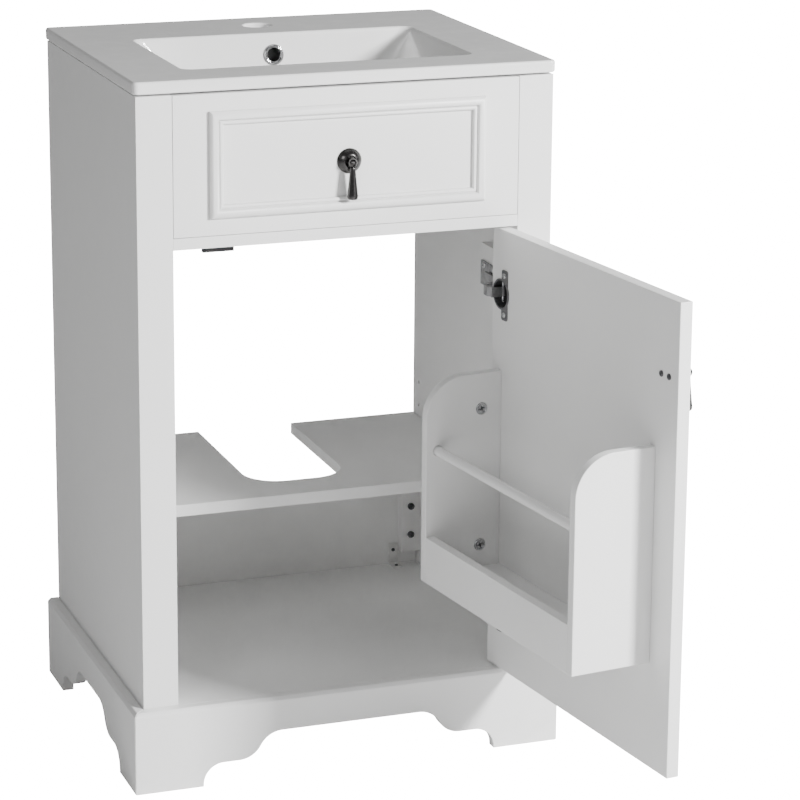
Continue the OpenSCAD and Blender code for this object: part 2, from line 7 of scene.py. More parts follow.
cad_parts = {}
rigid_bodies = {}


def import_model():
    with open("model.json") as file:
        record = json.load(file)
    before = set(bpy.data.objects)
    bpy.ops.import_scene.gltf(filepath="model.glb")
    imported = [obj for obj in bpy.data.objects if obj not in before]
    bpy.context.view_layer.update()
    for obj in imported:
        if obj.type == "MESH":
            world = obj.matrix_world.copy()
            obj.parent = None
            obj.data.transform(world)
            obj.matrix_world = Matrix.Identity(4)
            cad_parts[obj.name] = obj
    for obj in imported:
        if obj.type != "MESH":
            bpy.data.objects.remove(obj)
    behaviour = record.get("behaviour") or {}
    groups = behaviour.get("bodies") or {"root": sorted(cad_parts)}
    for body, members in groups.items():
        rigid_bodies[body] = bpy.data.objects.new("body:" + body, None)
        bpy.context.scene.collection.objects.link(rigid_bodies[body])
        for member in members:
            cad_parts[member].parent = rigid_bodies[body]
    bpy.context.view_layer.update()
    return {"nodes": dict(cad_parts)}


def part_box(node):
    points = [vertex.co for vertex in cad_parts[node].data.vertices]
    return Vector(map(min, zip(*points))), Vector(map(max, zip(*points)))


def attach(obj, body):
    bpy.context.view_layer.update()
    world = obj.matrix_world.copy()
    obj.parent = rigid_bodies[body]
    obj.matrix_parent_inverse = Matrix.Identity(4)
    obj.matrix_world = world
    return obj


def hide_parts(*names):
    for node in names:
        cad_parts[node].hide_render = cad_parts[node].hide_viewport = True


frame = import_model()

# ---- Base boards ----
# Three fibreboard aprons with a scrolled lower edge and an eased top edge, mitred at the
# front corners and sprayed with satin white lacquer. The back board is plain.

LACQUER_WHITE = (0.78, 0.78, 0.775, 1)
LACQUER_GREY = (0.70, 0.695, 0.68, 1)
# A darker colour mixed into the lacquer in patches near the floor, and the height it reaches.
LOW_DARK_COLOUR = (0.42, 0.40, 0.36, 1)
LOW_DARK_TOP = 0.05
SMOOTH_ANGLE = math.radians(38)
BOARD_EASE = 0.0006
BASE_EASE = 0.0012


def select_only(*objs):
    bpy.ops.object.select_all(action="DESELECT")
    for obj in objs:
        obj.select_set(True)
    bpy.context.view_layer.objects.active = objs[-1]


def apply_place(obj):
    select_only(obj)
    bpy.ops.object.transform_apply(location=True, rotation=True, scale=True)


def shape_with(obj, kind, **settings):
    """adds a modifier and applies it"""
    select_only(obj)
    modifier = obj.modifiers.new(kind.title(), kind)
    for key, value in settings.items():
        setattr(modifier, key, value)
    bpy.ops.object.modifier_apply(modifier=modifier.name)


def pick(obj, kind, test):
    """enters edit mode with the vertices, edges or faces that pass the test selected"""
    bpy.ops.object.mode_set(mode="OBJECT")
    mesh = obj.data
    bpy.context.tool_settings.mesh_select_mode = (kind == "VERT", kind == "EDGE", kind == "FACE")
    for items in (mesh.vertices, mesh.edges, mesh.polygons):
        items.foreach_set("select", [False] * len(items))
    if kind == "FACE":
        for face in mesh.polygons:
            face.select = test(face.center, face.normal)
    elif kind == "EDGE":
        for edge in mesh.edges:
            edge.select = test(*(mesh.vertices[i].co for i in edge.vertices))
    else:
        for vertex in mesh.vertices:
            vertex.select = test(vertex.co)
    select_only(obj)
    bpy.ops.object.mode_set(mode="EDIT")


def softened_copy(node, name, width, segments=2):
    """a copy of a CAD node with its corners merged and its arrises eased"""
    select_only(frame["nodes"][node])
    bpy.ops.object.duplicate(linked=False)
    obj = bpy.context.object
    bpy.ops.object.parent_clear(type="CLEAR_KEEP_TRANSFORM")
    obj.name = name
    bpy.ops.object.mode_set(mode="EDIT")
    bpy.ops.mesh.select_all(action="SELECT")
    bpy.ops.mesh.remove_doubles(threshold=0.00002)
    bpy.ops.mesh.dissolve_limited(angle_limit=math.radians(0.6))
    bpy.ops.object.mode_set(mode="OBJECT")
    if width:
        shape_with(obj, "BEVEL", width=width, segments=segments, limit_method="ANGLE",
                   angle_limit=SMOOTH_ANGLE, use_clamp_overlap=True)
    return obj


def settle(obj, body, material, slot, *nodes):
    """the last step of every piece: smooth faces, finish, and its place in the assembly"""
    select_only(obj)
    bpy.ops.object.shade_smooth_by_angle(angle=SMOOTH_ANGLE)
    shape_with(obj, "WEIGHTED_NORMAL", keep_sharp=True)
    obj.data.materials.clear()
    obj.data.materials.append(material)
    if nodes:
        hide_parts(*nodes)
    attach(obj, body)
    return obj


def new_group(name, inputs):
    """a shader group with named sockets; returns it, its two end nodes and the object coordinates"""
    group = bpy.data.node_groups.new(name, "ShaderNodeTree")
    for label, kind, value in inputs:
        socket = group.interface.new_socket(label, in_out="INPUT", socket_type="NodeSocket" + kind)
        socket.default_value = value
    for label, kind in (("Color", "Color"), ("Roughness", "Float"), ("Normal", "Vector")):
        group.interface.new_socket(label, in_out="OUTPUT", socket_type="NodeSocket" + kind)
    given, result = group.nodes.new("NodeGroupInput"), group.nodes.new("NodeGroupOutput")
    return group, given, result, group.nodes.new("ShaderNodeTexCoord").outputs["Object"]


def noise(group, position, scale, detail=2.0, roughness=0.5):
    node = group.nodes.new("ShaderNodeTexNoise")
    node.inputs["Detail"].default_value = detail
    node.inputs["Roughness"].default_value = roughness
    group.links.new(position, node.inputs["Vector"])
    if isinstance(scale, (int, float)):
        node.inputs["Scale"].default_value = scale
    else:
        group.links.new(scale, node.inputs["Scale"])
    return node.outputs["Fac"]


def ranged(group, value, low, high, to_low=0.0, to_high=1.0):
    node = group.nodes.new("ShaderNodeMapRange")
    group.links.new(value, node.inputs["Value"])
    for label, number in (("From Min", low), ("From Max", high), ("To Min", to_low), ("To Max", to_high)):
        if isinstance(number, (int, float)):
            node.inputs[label].default_value = number
        else:
            group.links.new(number, node.inputs[label])
    return node.outputs["Result"]


def blended(group, factor, a, b):
    """mixes two colours; each may be a socket or a fixed colour"""
    node = group.nodes.new("ShaderNodeMix")
    node.data_type = "RGBA"
    group.links.new(factor, node.inputs["Factor"])
    colours = [s for s in node.inputs if s.type == "RGBA"]
    for socket, colour in zip(colours, (a, b)):
        if isinstance(colour, tuple):
            socket.default_value = colour
        else:
            group.links.new(colour, socket)
    return [s for s in node.outputs if s.type == "RGBA"][0]


def multiplied(group, a, b, operation="MULTIPLY"):
    node = group.nodes.new("ShaderNodeMath")
    node.operation = operation
    for socket, value in zip(node.inputs, (a, b)):
        if isinstance(value, (int, float)):
            socket.default_value = value
        else:
            group.links.new(value, socket)
    return node.outputs[0]


def bumped(group, height, distance, strength=1.0):
    node = group.nodes.new("ShaderNodeBump")
    node.inputs["Strength"].default_value = strength
    node.inputs["Distance"].default_value = distance
    group.links.new(height, node.inputs["Height"])
    return node.outputs["Normal"]


# Sprayed lacquer: a broad drift of tone, fine mottling of the sheen, a faint orange peel,
# and a patchy darkening of the colour that only comes within a few centimetres of the floor.
lacquer_group, given, result, place = new_group(
    "Sprayed lacquer",
    [("Paint", "Color", LACQUER_WHITE), ("Shade", "Color", LACQUER_GREY),
     ("Peel Scale", "Float", 420.0), ("Sheen Low", "Float", 0.34),
     ("Sheen High", "Float", 0.46), ("Low Darkening", "Float", 0.25)])
drift = ranged(lacquer_group, noise(lacquer_group, place, 4.0, 3.0), 0.35, 0.75, 0.0, 0.16)
paint = blended(lacquer_group, drift, given.outputs["Paint"], given.outputs["Shade"])
height_split = lacquer_group.nodes.new("ShaderNodeSeparateXYZ")
lacquer_group.links.new(place, height_split.inputs[0])
# The colour is darkened in patches towards the bottom, within the lowest few centimetres.
low_band = ranged(lacquer_group, height_split.outputs["Z"], 0.0, LOW_DARK_TOP, 1.0, 0.0)
low_dark_patches = ranged(lacquer_group, noise(lacquer_group, place, 38.0, 6.0, 0.65), 0.45, 0.8)
low_darkening = multiplied(lacquer_group, multiplied(lacquer_group, low_band, low_dark_patches), given.outputs["Low Darkening"])
lacquer_group.links.new(blended(lacquer_group, low_darkening, paint, LOW_DARK_COLOUR), result.inputs["Color"])
mottle = noise(lacquer_group, place, 55.0, 5.0, 0.6)
lacquer_group.links.new(
    ranged(lacquer_group, mottle, 0.3, 0.7, given.outputs["Sheen Low"], given.outputs["Sheen High"]),
    result.inputs["Roughness"])
peel = noise(lacquer_group, place, given.outputs["Peel Scale"], 2.0, 0.4)
lacquer_group.links.new(bumped(lacquer_group, peel, 0.00006, 0.5), result.inputs["Normal"])


def finish_of(name, group, values, **shader):
    """a material whose colour, roughness and normal come from a group"""
    material = bpy.data.materials.new(name)
    material.use_nodes = True
    tree = material.node_tree
    principled = tree.nodes["Principled BSDF"]
    pattern = tree.nodes.new("ShaderNodeGroup")
    pattern.node_tree = group
    for label, value in values.items():
        pattern.inputs[label].default_value = value
    for output, socket in (("Color", "Base Color"), ("Roughness", "Roughness"), ("Normal", "Normal")):
        tree.links.new(pattern.outputs[output], principled.inputs[socket])
    for label, value in shader.items():
        principled.inputs[label.replace("_", " ")].default_value = value
    return material


satin_lacquer = finish_of("Satin white lacquer", lacquer_group, {}, IOR=1.46)

for side in ("front", "left", "right"):
    apron = softened_copy(side + "_apron", "apron_" + side, BASE_EASE, 3)
    settle(apron, "cabinet", satin_lacquer, "white_lacquer", side + "_apron")


def eased_board(name, low, high, ease=BOARD_EASE, segments=2):
    """a board as a block at its size and place, with every arris eased"""
    bpy.ops.object.select_all(action="DESELECT")
    middle = [(a + b) / 2 for a, b in zip(low, high)]
    bpy.ops.mesh.primitive_cube_add(size=1, location=middle)
    board = bpy.context.object
    board.name = name
    board.scale = [b - a for a, b in zip(low, high)]
    apply_place(board)
    if ease:
        bpy.ops.object.mode_set(mode="EDIT")
        bpy.ops.mesh.select_all(action="SELECT")
        bpy.ops.mesh.bevel(offset=ease, segments=segments, affect="EDGES")
        bpy.ops.object.mode_set(mode="OBJECT")
    return board


back_rail = eased_board("base_back_board", *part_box("base_back_rail"))
settle(back_rail, "cabinet", satin_lacquer, "white_lacquer", "base_back_rail")

# ---- Foot blocks ----
# Four square softwood blocks glued into the corners of the base. They carry the load and
# are left bare, as only the floor sees them.

wood_group, given, result, place = new_group(
    "Bare softwood",
    [("Early", "Color", (0.66, 0.50, 0.32, 1)), ("Late", "Color", (0.40, 0.24, 0.12, 1))])
along = wood_group.nodes.new("ShaderNodeMapping")
along.inputs["Scale"].default_value = (1, 1, 0.06)
along.inputs["Rotation"].default_value = (0.03, 0.05, 0)
wood_group.links.new(place, along.inputs["Vector"])
rings = wood_group.nodes.new("ShaderNodeTexWave")
rings.wave_type = "RINGS"
rings.rings_direction = "Z"
rings.inputs["Scale"].default_value = 38.0
rings.inputs["Distortion"].default_value = 2.6
rings.inputs["Detail"].default_value = 3.0
wood_group.links.new(along.outputs["Vector"], rings.inputs["Vector"])
fibre = noise(wood_group, along.outputs["Vector"], 900.0, 4.0, 0.6)
grain = multiplied(wood_group, ranged(wood_group, rings.outputs["Fac"], 0.25, 0.95),
                   ranged(wood_group, fibre, 0.3, 0.7, 0.6, 1.0))
wood_group.links.new(blended(wood_group, grain, given.outputs["Early"], given.outputs["Late"]),
                     result.inputs["Color"])
wood_group.links.new(ranged(wood_group, fibre, 0.3, 0.7, 0.62, 0.85), result.inputs["Roughness"])
wood_group.links.new(bumped(wood_group, fibre, 0.0002, 0.5), result.inputs["Normal"])
bare_wood = finish_of("Bare softwood", wood_group, {})

foot_blocks = softened_copy("foot_blocks", "foot_corner_blocks", 0.0012)
settle(foot_blocks, "cabinet", bare_wood, "plain_wood", "foot_blocks")

# ---- Bottom board ----
# One lacquered board over the whole footprint. The side panels and the stiles stand on it
# and the aprons are glued round its edge.

bottom_board = eased_board("bottom_board_panel", *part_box("bottom_board"), ease=0.0004)
settle(bottom_board, "cabinet", satin_lacquer, "white_lacquer", "bottom_board")

# ---- Side panels ----
# Two tall fibreboard panels, each bored near the front and the back with a column of
# blind holes for the shelf pins.

PIN_HOLE_R = 0.00255
PIN_HOLE_DEPTH = 0.010
PIN_PITCH = 0.032
PIN_R = 0.0025
PIN_FRONT_INSET, PIN_BACK_INSET = 0.032, 0.020
shelf_low, shelf_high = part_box("shelf")
pin_column_ys = (shelf_low.y + PIN_FRONT_INSET, shelf_high.y - PIN_BACK_INSET)
pin_hole_zs = [shelf_low.z - PIN_R + k * PIN_PITCH for k in (-1, 0, 1, 2)]


def carve(obj, tool, operation="DIFFERENCE"):
    """takes a tool solid out of a piece, or joins it on, and deletes the tool"""
    shape_with(obj, "BOOLEAN", operation=operation, solver="MANIFOLD", object=tool)
    select_only(tool)
    bpy.ops.object.delete()


def drill(obj, points, direction, radius, depth, sides=32):
    """sinks round holes to a depth along a direction"""
    turn = Vector((0, 0, 1)).rotation_difference(Vector(direction)).to_euler()
    cutters = []
    for point in points:
        bpy.ops.object.select_all(action="DESELECT")
        bpy.ops.mesh.primitive_cone_add(vertices=sides, radius1=radius, radius2=radius, depth=2 * depth,
                                        location=point, rotation=turn)
        cutters.append(bpy.context.object)
    select_only(*cutters)
    if len(cutters) > 1:
        bpy.ops.object.join()
    cutter = bpy.context.object
    apply_place(cutter)
    carve(obj, cutter)


for side, sign in (("left", -1), ("right", 1)):
    low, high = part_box(side + "_side_panel")
    panel = eased_board(side + "_cabinet_side", low, high)
    inner_x = low.x if sign > 0 else high.x
    drill(panel, [(inner_x, y, z) for y in pin_column_ys for z in pin_hole_zs],
          (sign, 0, 0), PIN_HOLE_R, PIN_HOLE_DEPTH)
    settle(panel, "cabinet", satin_lacquer, "white_lacquer", side + "_side_panel")

# ---- Face frame ----
# Two stiles and a thin rail, butted and glued, with hairline joints that the lacquer
# just bridges.

for node in ("left_stile", "right_stile", "front_rail"):
    member = eased_board(node + "_face", *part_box(node), ease=0.0005)
    settle(member, "cabinet", satin_lacquer, "white_lacquer", node)

# ---- Back and top rails ----
# The top stretcher and the upper back rail carry the basin, and the lower back panel
# stiffens the cabinet. The middle of the back is open for the pipes.

for node in ("top_stretcher", "lower_back_panel"):
    board = eased_board(node + "_board", *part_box(node))
    settle(board, "cabinet", satin_lacquer, "white_lacquer", node)
WALL_SCREW_X = 0.180
WALL_SCREW_R = 0.003
WALL_SCREW_DROP = 0.040
WALL_SCREW_DEPTH = 0.020
low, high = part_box("upper_back_rail")
wall_rail = eased_board("wall_rail_board", low, high)
drill(wall_rail, [(x, low.y, high.z - WALL_SCREW_DROP) for x in (-WALL_SCREW_X, WALL_SCREW_X)],
      (0, -1, 0), WALL_SCREW_R, WALL_SCREW_DEPTH)
settle(wall_rail, "cabinet", satin_lacquer, "white_lacquer", "upper_back_rail")

# ---- Back cleats and their bolts ----
# Upright lacquered cleats in the back corners. Black hexagon socket bolts, two to a
# cleat, draw the lower back panel up to them.

CLEAT_BOLT_HEAD_R = 0.0046
CLEAT_BOLT_HEAD_H = 0.003
CLEAT_BOLT_SHANK_R, CLEAT_BOLT_SHANK_L = 0.003, 0.012
SOCKET_R, SOCKET_DEPTH = 0.0024, 0.0022

cleats = softened_copy("back_cleats", "corner_cleats", BOARD_EASE)
settle(cleats, "cabinet", satin_lacquer, "white_lacquer", "back_cleats")

steel_group, given, result, place = new_group(
    "Plated steel",
    [("Plate", "Color", (0.55, 0.55, 0.56, 1)), ("Dull", "Color", (0.32, 0.32, 0.33, 1)),
     ("Grain", "Vector", (1, 1, 30)), ("Polish", "Float", 0.24),
     ("Wear", "Float", 0.48)])
drawn = steel_group.nodes.new("ShaderNodeMapping")
steel_group.links.new(place, drawn.inputs["Vector"])
steel_group.links.new(given.outputs["Grain"], drawn.inputs["Scale"])
lines = noise(steel_group, drawn.outputs["Vector"], 260.0, 3.0, 0.6)
blotch = noise(steel_group, place, 95.0, 5.0, 0.65)
tarnish = multiplied(steel_group, ranged(steel_group, blotch, 0.38, 0.72),
                     ranged(steel_group, lines, 0.25, 0.75, 0.55, 1.0))
steel_group.links.new(blended(steel_group, tarnish, given.outputs["Plate"], given.outputs["Dull"]),
                      result.inputs["Color"])
steel_group.links.new(ranged(steel_group, tarnish, 0.0, 0.8, given.outputs["Polish"], given.outputs["Wear"]),
                      result.inputs["Roughness"])
steel_group.links.new(bumped(steel_group, lines, 0.00003, 0.6), result.inputs["Normal"])
black_oxide = finish_of("Black oxide steel", steel_group,
                        {"Plate": (0.13, 0.13, 0.135, 1), "Dull": (0.05, 0.05, 0.052, 1),
                         "Polish": 0.26, "Wear": 0.45, "Grain": (1, 1, 1)}, Metallic=0.8)


def turned(name, profile, direction=(0, 0, 1), at=(0, 0, 0), sides=32):
    """a round piece drawn up ring by ring from its (radius, height) profile"""
    bpy.ops.object.select_all(action="DESELECT")
    bpy.ops.mesh.primitive_circle_add(vertices=sides, radius=profile[0][0], fill_type="NGON",
                                      location=(0, 0, profile[0][1]))
    piece = bpy.context.object
    piece.name = name
    apply_place(piece)
    bpy.ops.object.mode_set(mode="EDIT")
    bpy.ops.mesh.select_all(action="SELECT")
    for (r0, h0), (r1, h1) in zip(profile, profile[1:]):
        bpy.ops.mesh.extrude_region_move(TRANSFORM_OT_translate={"value": (0, 0, h1 - h0)})
        if abs(r1 - r0) > 1e-7:
            bpy.ops.transform.resize(value=(r1 / r0, r1 / r0, 1), center_override=(0, 0, h1))
    bpy.ops.mesh.select_all(action="DESELECT")
    bpy.ops.mesh.select_mode(type="EDGE")
    bpy.ops.mesh.select_non_manifold()
    bpy.ops.mesh.edge_face_add()
    bpy.ops.mesh.select_all(action="SELECT")
    bpy.ops.mesh.normals_make_consistent(inside=False)
    bpy.ops.object.mode_set(mode="OBJECT")
    piece.rotation_euler = Vector((0, 0, 1)).rotation_difference(Vector(direction)).to_euler()
    piece.location = at
    apply_place(piece)
    return piece


def copies_at(piece, name, offsets):
    """copies a piece to each offset and joins the copies into one object"""
    copies = []
    for offset in offsets:
        select_only(piece)
        bpy.ops.object.duplicate(linked=False)
        copy = bpy.context.object
        copy.location = offset
        apply_place(copy)
        copies.append(copy)
    select_only(piece)
    bpy.ops.object.delete()
    select_only(*copies)
    if len(copies) > 1:
        bpy.ops.object.join()
    joined = bpy.context.object
    joined.name = name
    return joined


low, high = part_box("back_cleat_bolts")
bolt_x = high.x - CLEAT_BOLT_HEAD_R
bolt_zs = (low.z + CLEAT_BOLT_HEAD_R, high.z - CLEAT_BOLT_HEAD_R)
cleat_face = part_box("back_cleats")[0].y
bolt = turned("socket_bolt", [(CLEAT_BOLT_SHANK_R, -CLEAT_BOLT_SHANK_L), (CLEAT_BOLT_SHANK_R, 0.0),
                              (CLEAT_BOLT_HEAD_R, 0.0), (CLEAT_BOLT_HEAD_R, CLEAT_BOLT_HEAD_H - 0.0006),
                              (CLEAT_BOLT_HEAD_R - 0.0005, CLEAT_BOLT_HEAD_H)],
              direction=(0, -1, 0), sides=28)
drill(bolt, [(0, -CLEAT_BOLT_HEAD_H, 0)], (0, 1, 0), SOCKET_R, SOCKET_DEPTH, sides=6)
bolts = copies_at(bolt, "cleat_socket_bolts",
                  [(x, cleat_face, z) for x in (-bolt_x, bolt_x) for z in bolt_zs])
settle(bolts, "cabinet", black_oxide, "dark_bronze", "back_cleat_bolts")

# ---- Corner brackets ----
# Small white moulded angles that tie the lower back panel to the bottom board, each with
# two dark screws.

plastic_group, given, result, place = new_group(
    "Moulded plastic",
    [("Tint", "Color", (0.72, 0.72, 0.71, 1)), ("Deep", "Color", (0.60, 0.60, 0.59, 1)),
     ("Gloss Low", "Float", 0.38), ("Gloss High", "Float", 0.55)])
flow = noise(plastic_group, place, 70.0, 3.0)
spark = noise(plastic_group, place, 1600.0, 2.0)
plastic_group.links.new(blended(plastic_group, ranged(plastic_group, flow, 0.35, 0.7),
                                given.outputs["Tint"], given.outputs["Deep"]), result.inputs["Color"])
plastic_group.links.new(ranged(plastic_group, flow, 0.3, 0.7, given.outputs["Gloss Low"],
                               given.outputs["Gloss High"]), result.inputs["Roughness"])
plastic_group.links.new(bumped(plastic_group, spark, 0.00004, 0.6), result.inputs["Normal"])
white_plastic = finish_of("White moulded plastic", plastic_group, {})

brackets = softened_copy("back_brackets", "corner_brackets", 0.0005)
settle(brackets, "cabinet", white_plastic, "white_plastic", "back_brackets")
BRACKET_SCREW = [(0.0024, 0.0), (0.0024, 0.0008), (0.0016, 0.0014)]
BRACKET_SCREW_INSET = 0.003
BRACKET_FOOT_T = 0.002
FLOOR_SCREW_Y = 0.0136

screw_box_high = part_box("back_bracket_screws")[1]
bracket_x = screw_box_high.x - BRACKET_SCREW_INSET
floor_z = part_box("back_brackets")[0].z + BRACKET_FOOT_T
floor_screws = copies_at(turned("bracket_screw", BRACKET_SCREW, sides=20), "bracket_floor_screws",
                         [(x, screw_box_high.y - FLOOR_SCREW_Y, floor_z) for x in (-bracket_x, bracket_x)])
bracket_screws = copies_at(turned("bracket_screw", BRACKET_SCREW, direction=(0, -1, 0), sides=20),
                           "bracket_screws",
                           [(x, screw_box_high.y, screw_box_high.z - BRACKET_SCREW_INSET)
                            for x in (-bracket_x, bracket_x)])
select_only(floor_screws, bracket_screws)
bpy.ops.object.join()
settle(bracket_screws, "cabinet", black_oxide, "dark_bronze", "back_bracket_screws")

# ---- False drawer front ----
# A fixed panel between the stiles with an applied, mitred moulding, held by two glue
# blocks behind its ends.

drawer_board = eased_board("drawer_front_panel", *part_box("drawer_front"), ease=0.0005)
settle(drawer_board, "cabinet", satin_lacquer, "white_lacquer", "drawer_front")
glue_blocks = softened_copy("drawer_front_blocks", "drawer_glue_blocks", 0.001)
settle(glue_blocks, "cabinet", bare_wood, "plain_wood", "drawer_front_blocks")

# Moulding section: steps inwards from the outer edge, and the height at each step.
MOULDING = [(0.0, 0.0036), (0.0002, 0.0041), (0.0005, 0.0046), (0.0012, 0.0054), (0.0022, 0.0063),
            (0.0034, 0.0071), (0.0048, 0.0077), (0.0062, 0.0080), (0.0075, 0.0079), (0.0087, 0.0074),
            (0.0096, 0.0065), (0.0102, 0.0053), (0.0105, 0.0040), (0.0108, 0.0028), (0.0112, 0.0028),
            (0.0115, 0.0037), (0.0119, 0.0043), (0.0126, 0.0049), (0.0134, 0.0050), (0.0143, 0.0049),
            (0.0151, 0.0043), (0.0157, 0.0036), (0.0160, 0.0028), (0.01605, 0.0)]


def mitred_moulding(name, low_x, high_x, low_z, high_z, wood_y):
    """a rectangle raised and inset along the section, so each corner is a true mitre"""
    bpy.ops.object.select_all(action="DESELECT")
    bpy.ops.mesh.primitive_plane_add(size=1, location=(0, 0, 0))
    frame_piece = bpy.context.object
    frame_piece.name = name
    frame_piece.scale = (high_x - low_x, high_z - low_z, 1)
    frame_piece.rotation_euler = (math.radians(90), 0, 0)
    frame_piece.location = ((low_x + high_x) / 2, wood_y, (low_z + high_z) / 2)
    apply_place(frame_piece)
    bpy.ops.object.mode_set(mode="EDIT")
    bpy.ops.mesh.select_mode(type="FACE")
    bpy.ops.mesh.select_all(action="SELECT")
    bpy.ops.mesh.extrude_region_move(TRANSFORM_OT_translate={"value": (0, -MOULDING[0][1], 0)})
    for (in0, up0), (in1, up1) in zip(MOULDING, MOULDING[1:]):
        bpy.ops.mesh.inset(thickness=in1 - in0, depth=up1 - up0, use_even_offset=True)
    pick(frame_piece, "FACE", lambda centre, normal: abs(centre.y - wood_y) < 1e-6)
    bpy.ops.mesh.delete(type="FACE")
    bpy.ops.mesh.select_mode(type="EDGE")
    bpy.ops.mesh.select_all(action="DESELECT")
    bpy.ops.mesh.select_non_manifold()
    bpy.ops.mesh.bridge_edge_loops()
    bpy.ops.mesh.select_all(action="SELECT")
    bpy.ops.mesh.normals_make_consistent(inside=False)
    bpy.ops.object.mode_set(mode="OBJECT")
    return frame_piece


low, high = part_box("drawer_front_moulding")
drawer_moulding = mitred_moulding("drawer_moulding", low.x, high.x, low.z, high.z, high.y)
settle(drawer_moulding, "cabinet", satin_lacquer, "white_lacquer", "drawer_front_moulding")

# ---- Shelf ----
# One lacquered board with a round-cornered slot cut in from the back to clear the waste
# pipe. It lies loose on four zinc-plated pins.

CUTOUT_HALF = 0.064
CUTOUT_DEPTH = 0.242
CUTOUT_R = 0.045
SHELF_EASE = 0.0008


def upright(a, b):
    return abs(a.x - b.x) < 1e-5 and abs(a.y - b.y) < 1e-5


shelf = eased_board("cutout_shelf", shelf_low, shelf_high, ease=0)
slot_cutter = eased_board("slot_cutter", (-CUTOUT_HALF, shelf_high.y - CUTOUT_DEPTH, shelf_low.z - 0.01),
                          (CUTOUT_HALF, shelf_high.y + 0.05, shelf_high.z + 0.01), ease=0)
pick(slot_cutter, "EDGE", lambda a, b: upright(a, b) and a.y < shelf_high.y - 0.1)
bpy.ops.mesh.bevel(offset=CUTOUT_R, segments=20, affect="EDGES")
bpy.ops.object.mode_set(mode="OBJECT")
carve(shelf, slot_cutter)
shape_with(shelf, "BEVEL", width=SHELF_EASE, segments=3, limit_method="ANGLE", angle_limit=math.radians(40))
settle(shelf, "shelf", satin_lacquer, "white_lacquer", "shelf")

zinc = finish_of("Zinc plated steel", steel_group,
                 {"Plate": (0.58, 0.59, 0.60, 1), "Dull": (0.36, 0.36, 0.37, 1), "Polish": 0.22, "Wear": 0.42,
                  "Grain": (20, 1, 1)}, Metallic=1.0)


def repaint(node, material):
    """a CAD node that stays as it is takes a finish"""
    obj = frame["nodes"][node]
    obj.data.materials.clear()
    obj.data.materials.append(material)


repaint("shelf_pins", zinc)

# ---- Door stop ----
# A black moulded block screwed behind the rail, which the closed door meets.

black_plastic = finish_of("Black moulded plastic", plastic_group,
                          {"Tint": (0.022, 0.022, 0.023, 1), "Deep": (0.012, 0.012, 0.013, 1),
                           "Gloss Low": 0.42, "Gloss High": 0.6})
door_stop = softened_copy("door_stop", "door_stop_block", 0.0006)
settle(door_stop, "cabinet", black_plastic, "black_plastic", "door_stop")
repaint("door_stop_screws", black_oxide)

# ---- Hinges ----
# Two concealed hinges of dark nickel-plated steel. A lacquered packing block brings each
# mounting plate out to the opening; a hooked arm reaches round the door's edge into a
# 35 mm cup that is let into the door.

dark_nickel = finish_of("Dark nickel plate", steel_group,
                        {"Plate": (0.20, 0.20, 0.205, 1), "Dull": (0.10, 0.10, 0.105, 1),
                         "Polish": 0.30, "Wear": 0.5, "Grain": (1, 1, 24)}, Metallic=0.8)
nickel = finish_of("Nickel plate", steel_group,
                   {"Plate": (0.34, 0.34, 0.345, 1), "Dull": (0.18, 0.18, 0.185, 1),
                    "Polish": 0.28, "Wear": 0.5, "Grain": (1, 24, 1)}, Metallic=0.8)

HINGE_ZS = (0.1845, 0.5795)
LINK_LOW_X, LINK_HIGH_X = 0.1835, 0.1980
LINK_LOW_Y, LINK_HIGH_Y = -0.0030, -0.0012
LINK_HALF = 0.0062
METAL_EASE = 0.0005
PLATE_SCREW_R, PLATE_SCREW_H = 0.004, 0.002

packing = softened_copy("hinge_blocks", "hinge_packing_blocks", BOARD_EASE)
settle(packing, "cabinet", satin_lacquer, "white_lacquer", "hinge_blocks")
arms = softened_copy("hinge_arms", "hinge_arm_pair", METAL_EASE)
links = [eased_board("hinge_link", (LINK_LOW_X, LINK_LOW_Y, z - LINK_HALF),
                     (LINK_HIGH_X, LINK_HIGH_Y, z + LINK_HALF), ease=METAL_EASE) for z in HINGE_ZS]
select_only(*links, arms)
bpy.ops.object.join()
arms = bpy.context.object
settle(arms, "cabinet", nickel, "hinge_steel", "hinge_arms")


def cut_cross(piece, direction, height, size, degrees):
    """cuts a cross recess with a bar at a height up the piece's axis, turned twice"""
    normal = Vector(direction)
    turn = Vector((0, 0, 1)).rotation_difference(normal)
    for angle in (math.radians(degrees), math.radians(degrees + 90)):
        bpy.ops.object.select_all(action="DESELECT")
        bpy.ops.mesh.primitive_cube_add(size=1, location=normal * height)
        bar = bpy.context.object
        bar.scale = size
        bar.rotation_euler = (turn.to_matrix() @ Matrix.Rotation(angle, 3, "Z")).to_euler()
        apply_place(bar)
        carve(piece, bar)


def cross_screw(name, radius, height, shank_r, shank_l, direction):
    """a pan-head screw with a cross recess, its seat at the origin"""
    screw = turned(name, [(shank_r, -shank_l), (shank_r, 0.0), (radius, 0.0), (radius, 0.35 * height),
                          (0.93 * radius, 0.68 * height), (0.72 * radius, 0.92 * height),
                          (0.40 * radius, height)], direction=direction, sides=28)
    cut_cross(screw, direction, height, (1.1 * radius, 0.26 * radius, 1.1 * height), 40)
    return screw


low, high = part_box("hinge_arm_screws")
plate_screw = cross_screw("plate_screw", PLATE_SCREW_R, PLATE_SCREW_H, 0.0015, 0.001, (-1, 0, 0))
plate_screws = copies_at(plate_screw, "hinge_plate_screws",
                         [(high.x, y, z) for y in (low.y + PLATE_SCREW_R, high.y - PLATE_SCREW_R)
                          for z in (low.z + PLATE_SCREW_R, high.z - PLATE_SCREW_R)])
settle(plate_screws, "cabinet", zinc, "zinc_steel", "hinge_arm_screws")

# ---- Door ----
# One inset panel with an applied moulding on its outer face. It is made up closed, and
# each of its pieces is then swung open round the hinge pins.

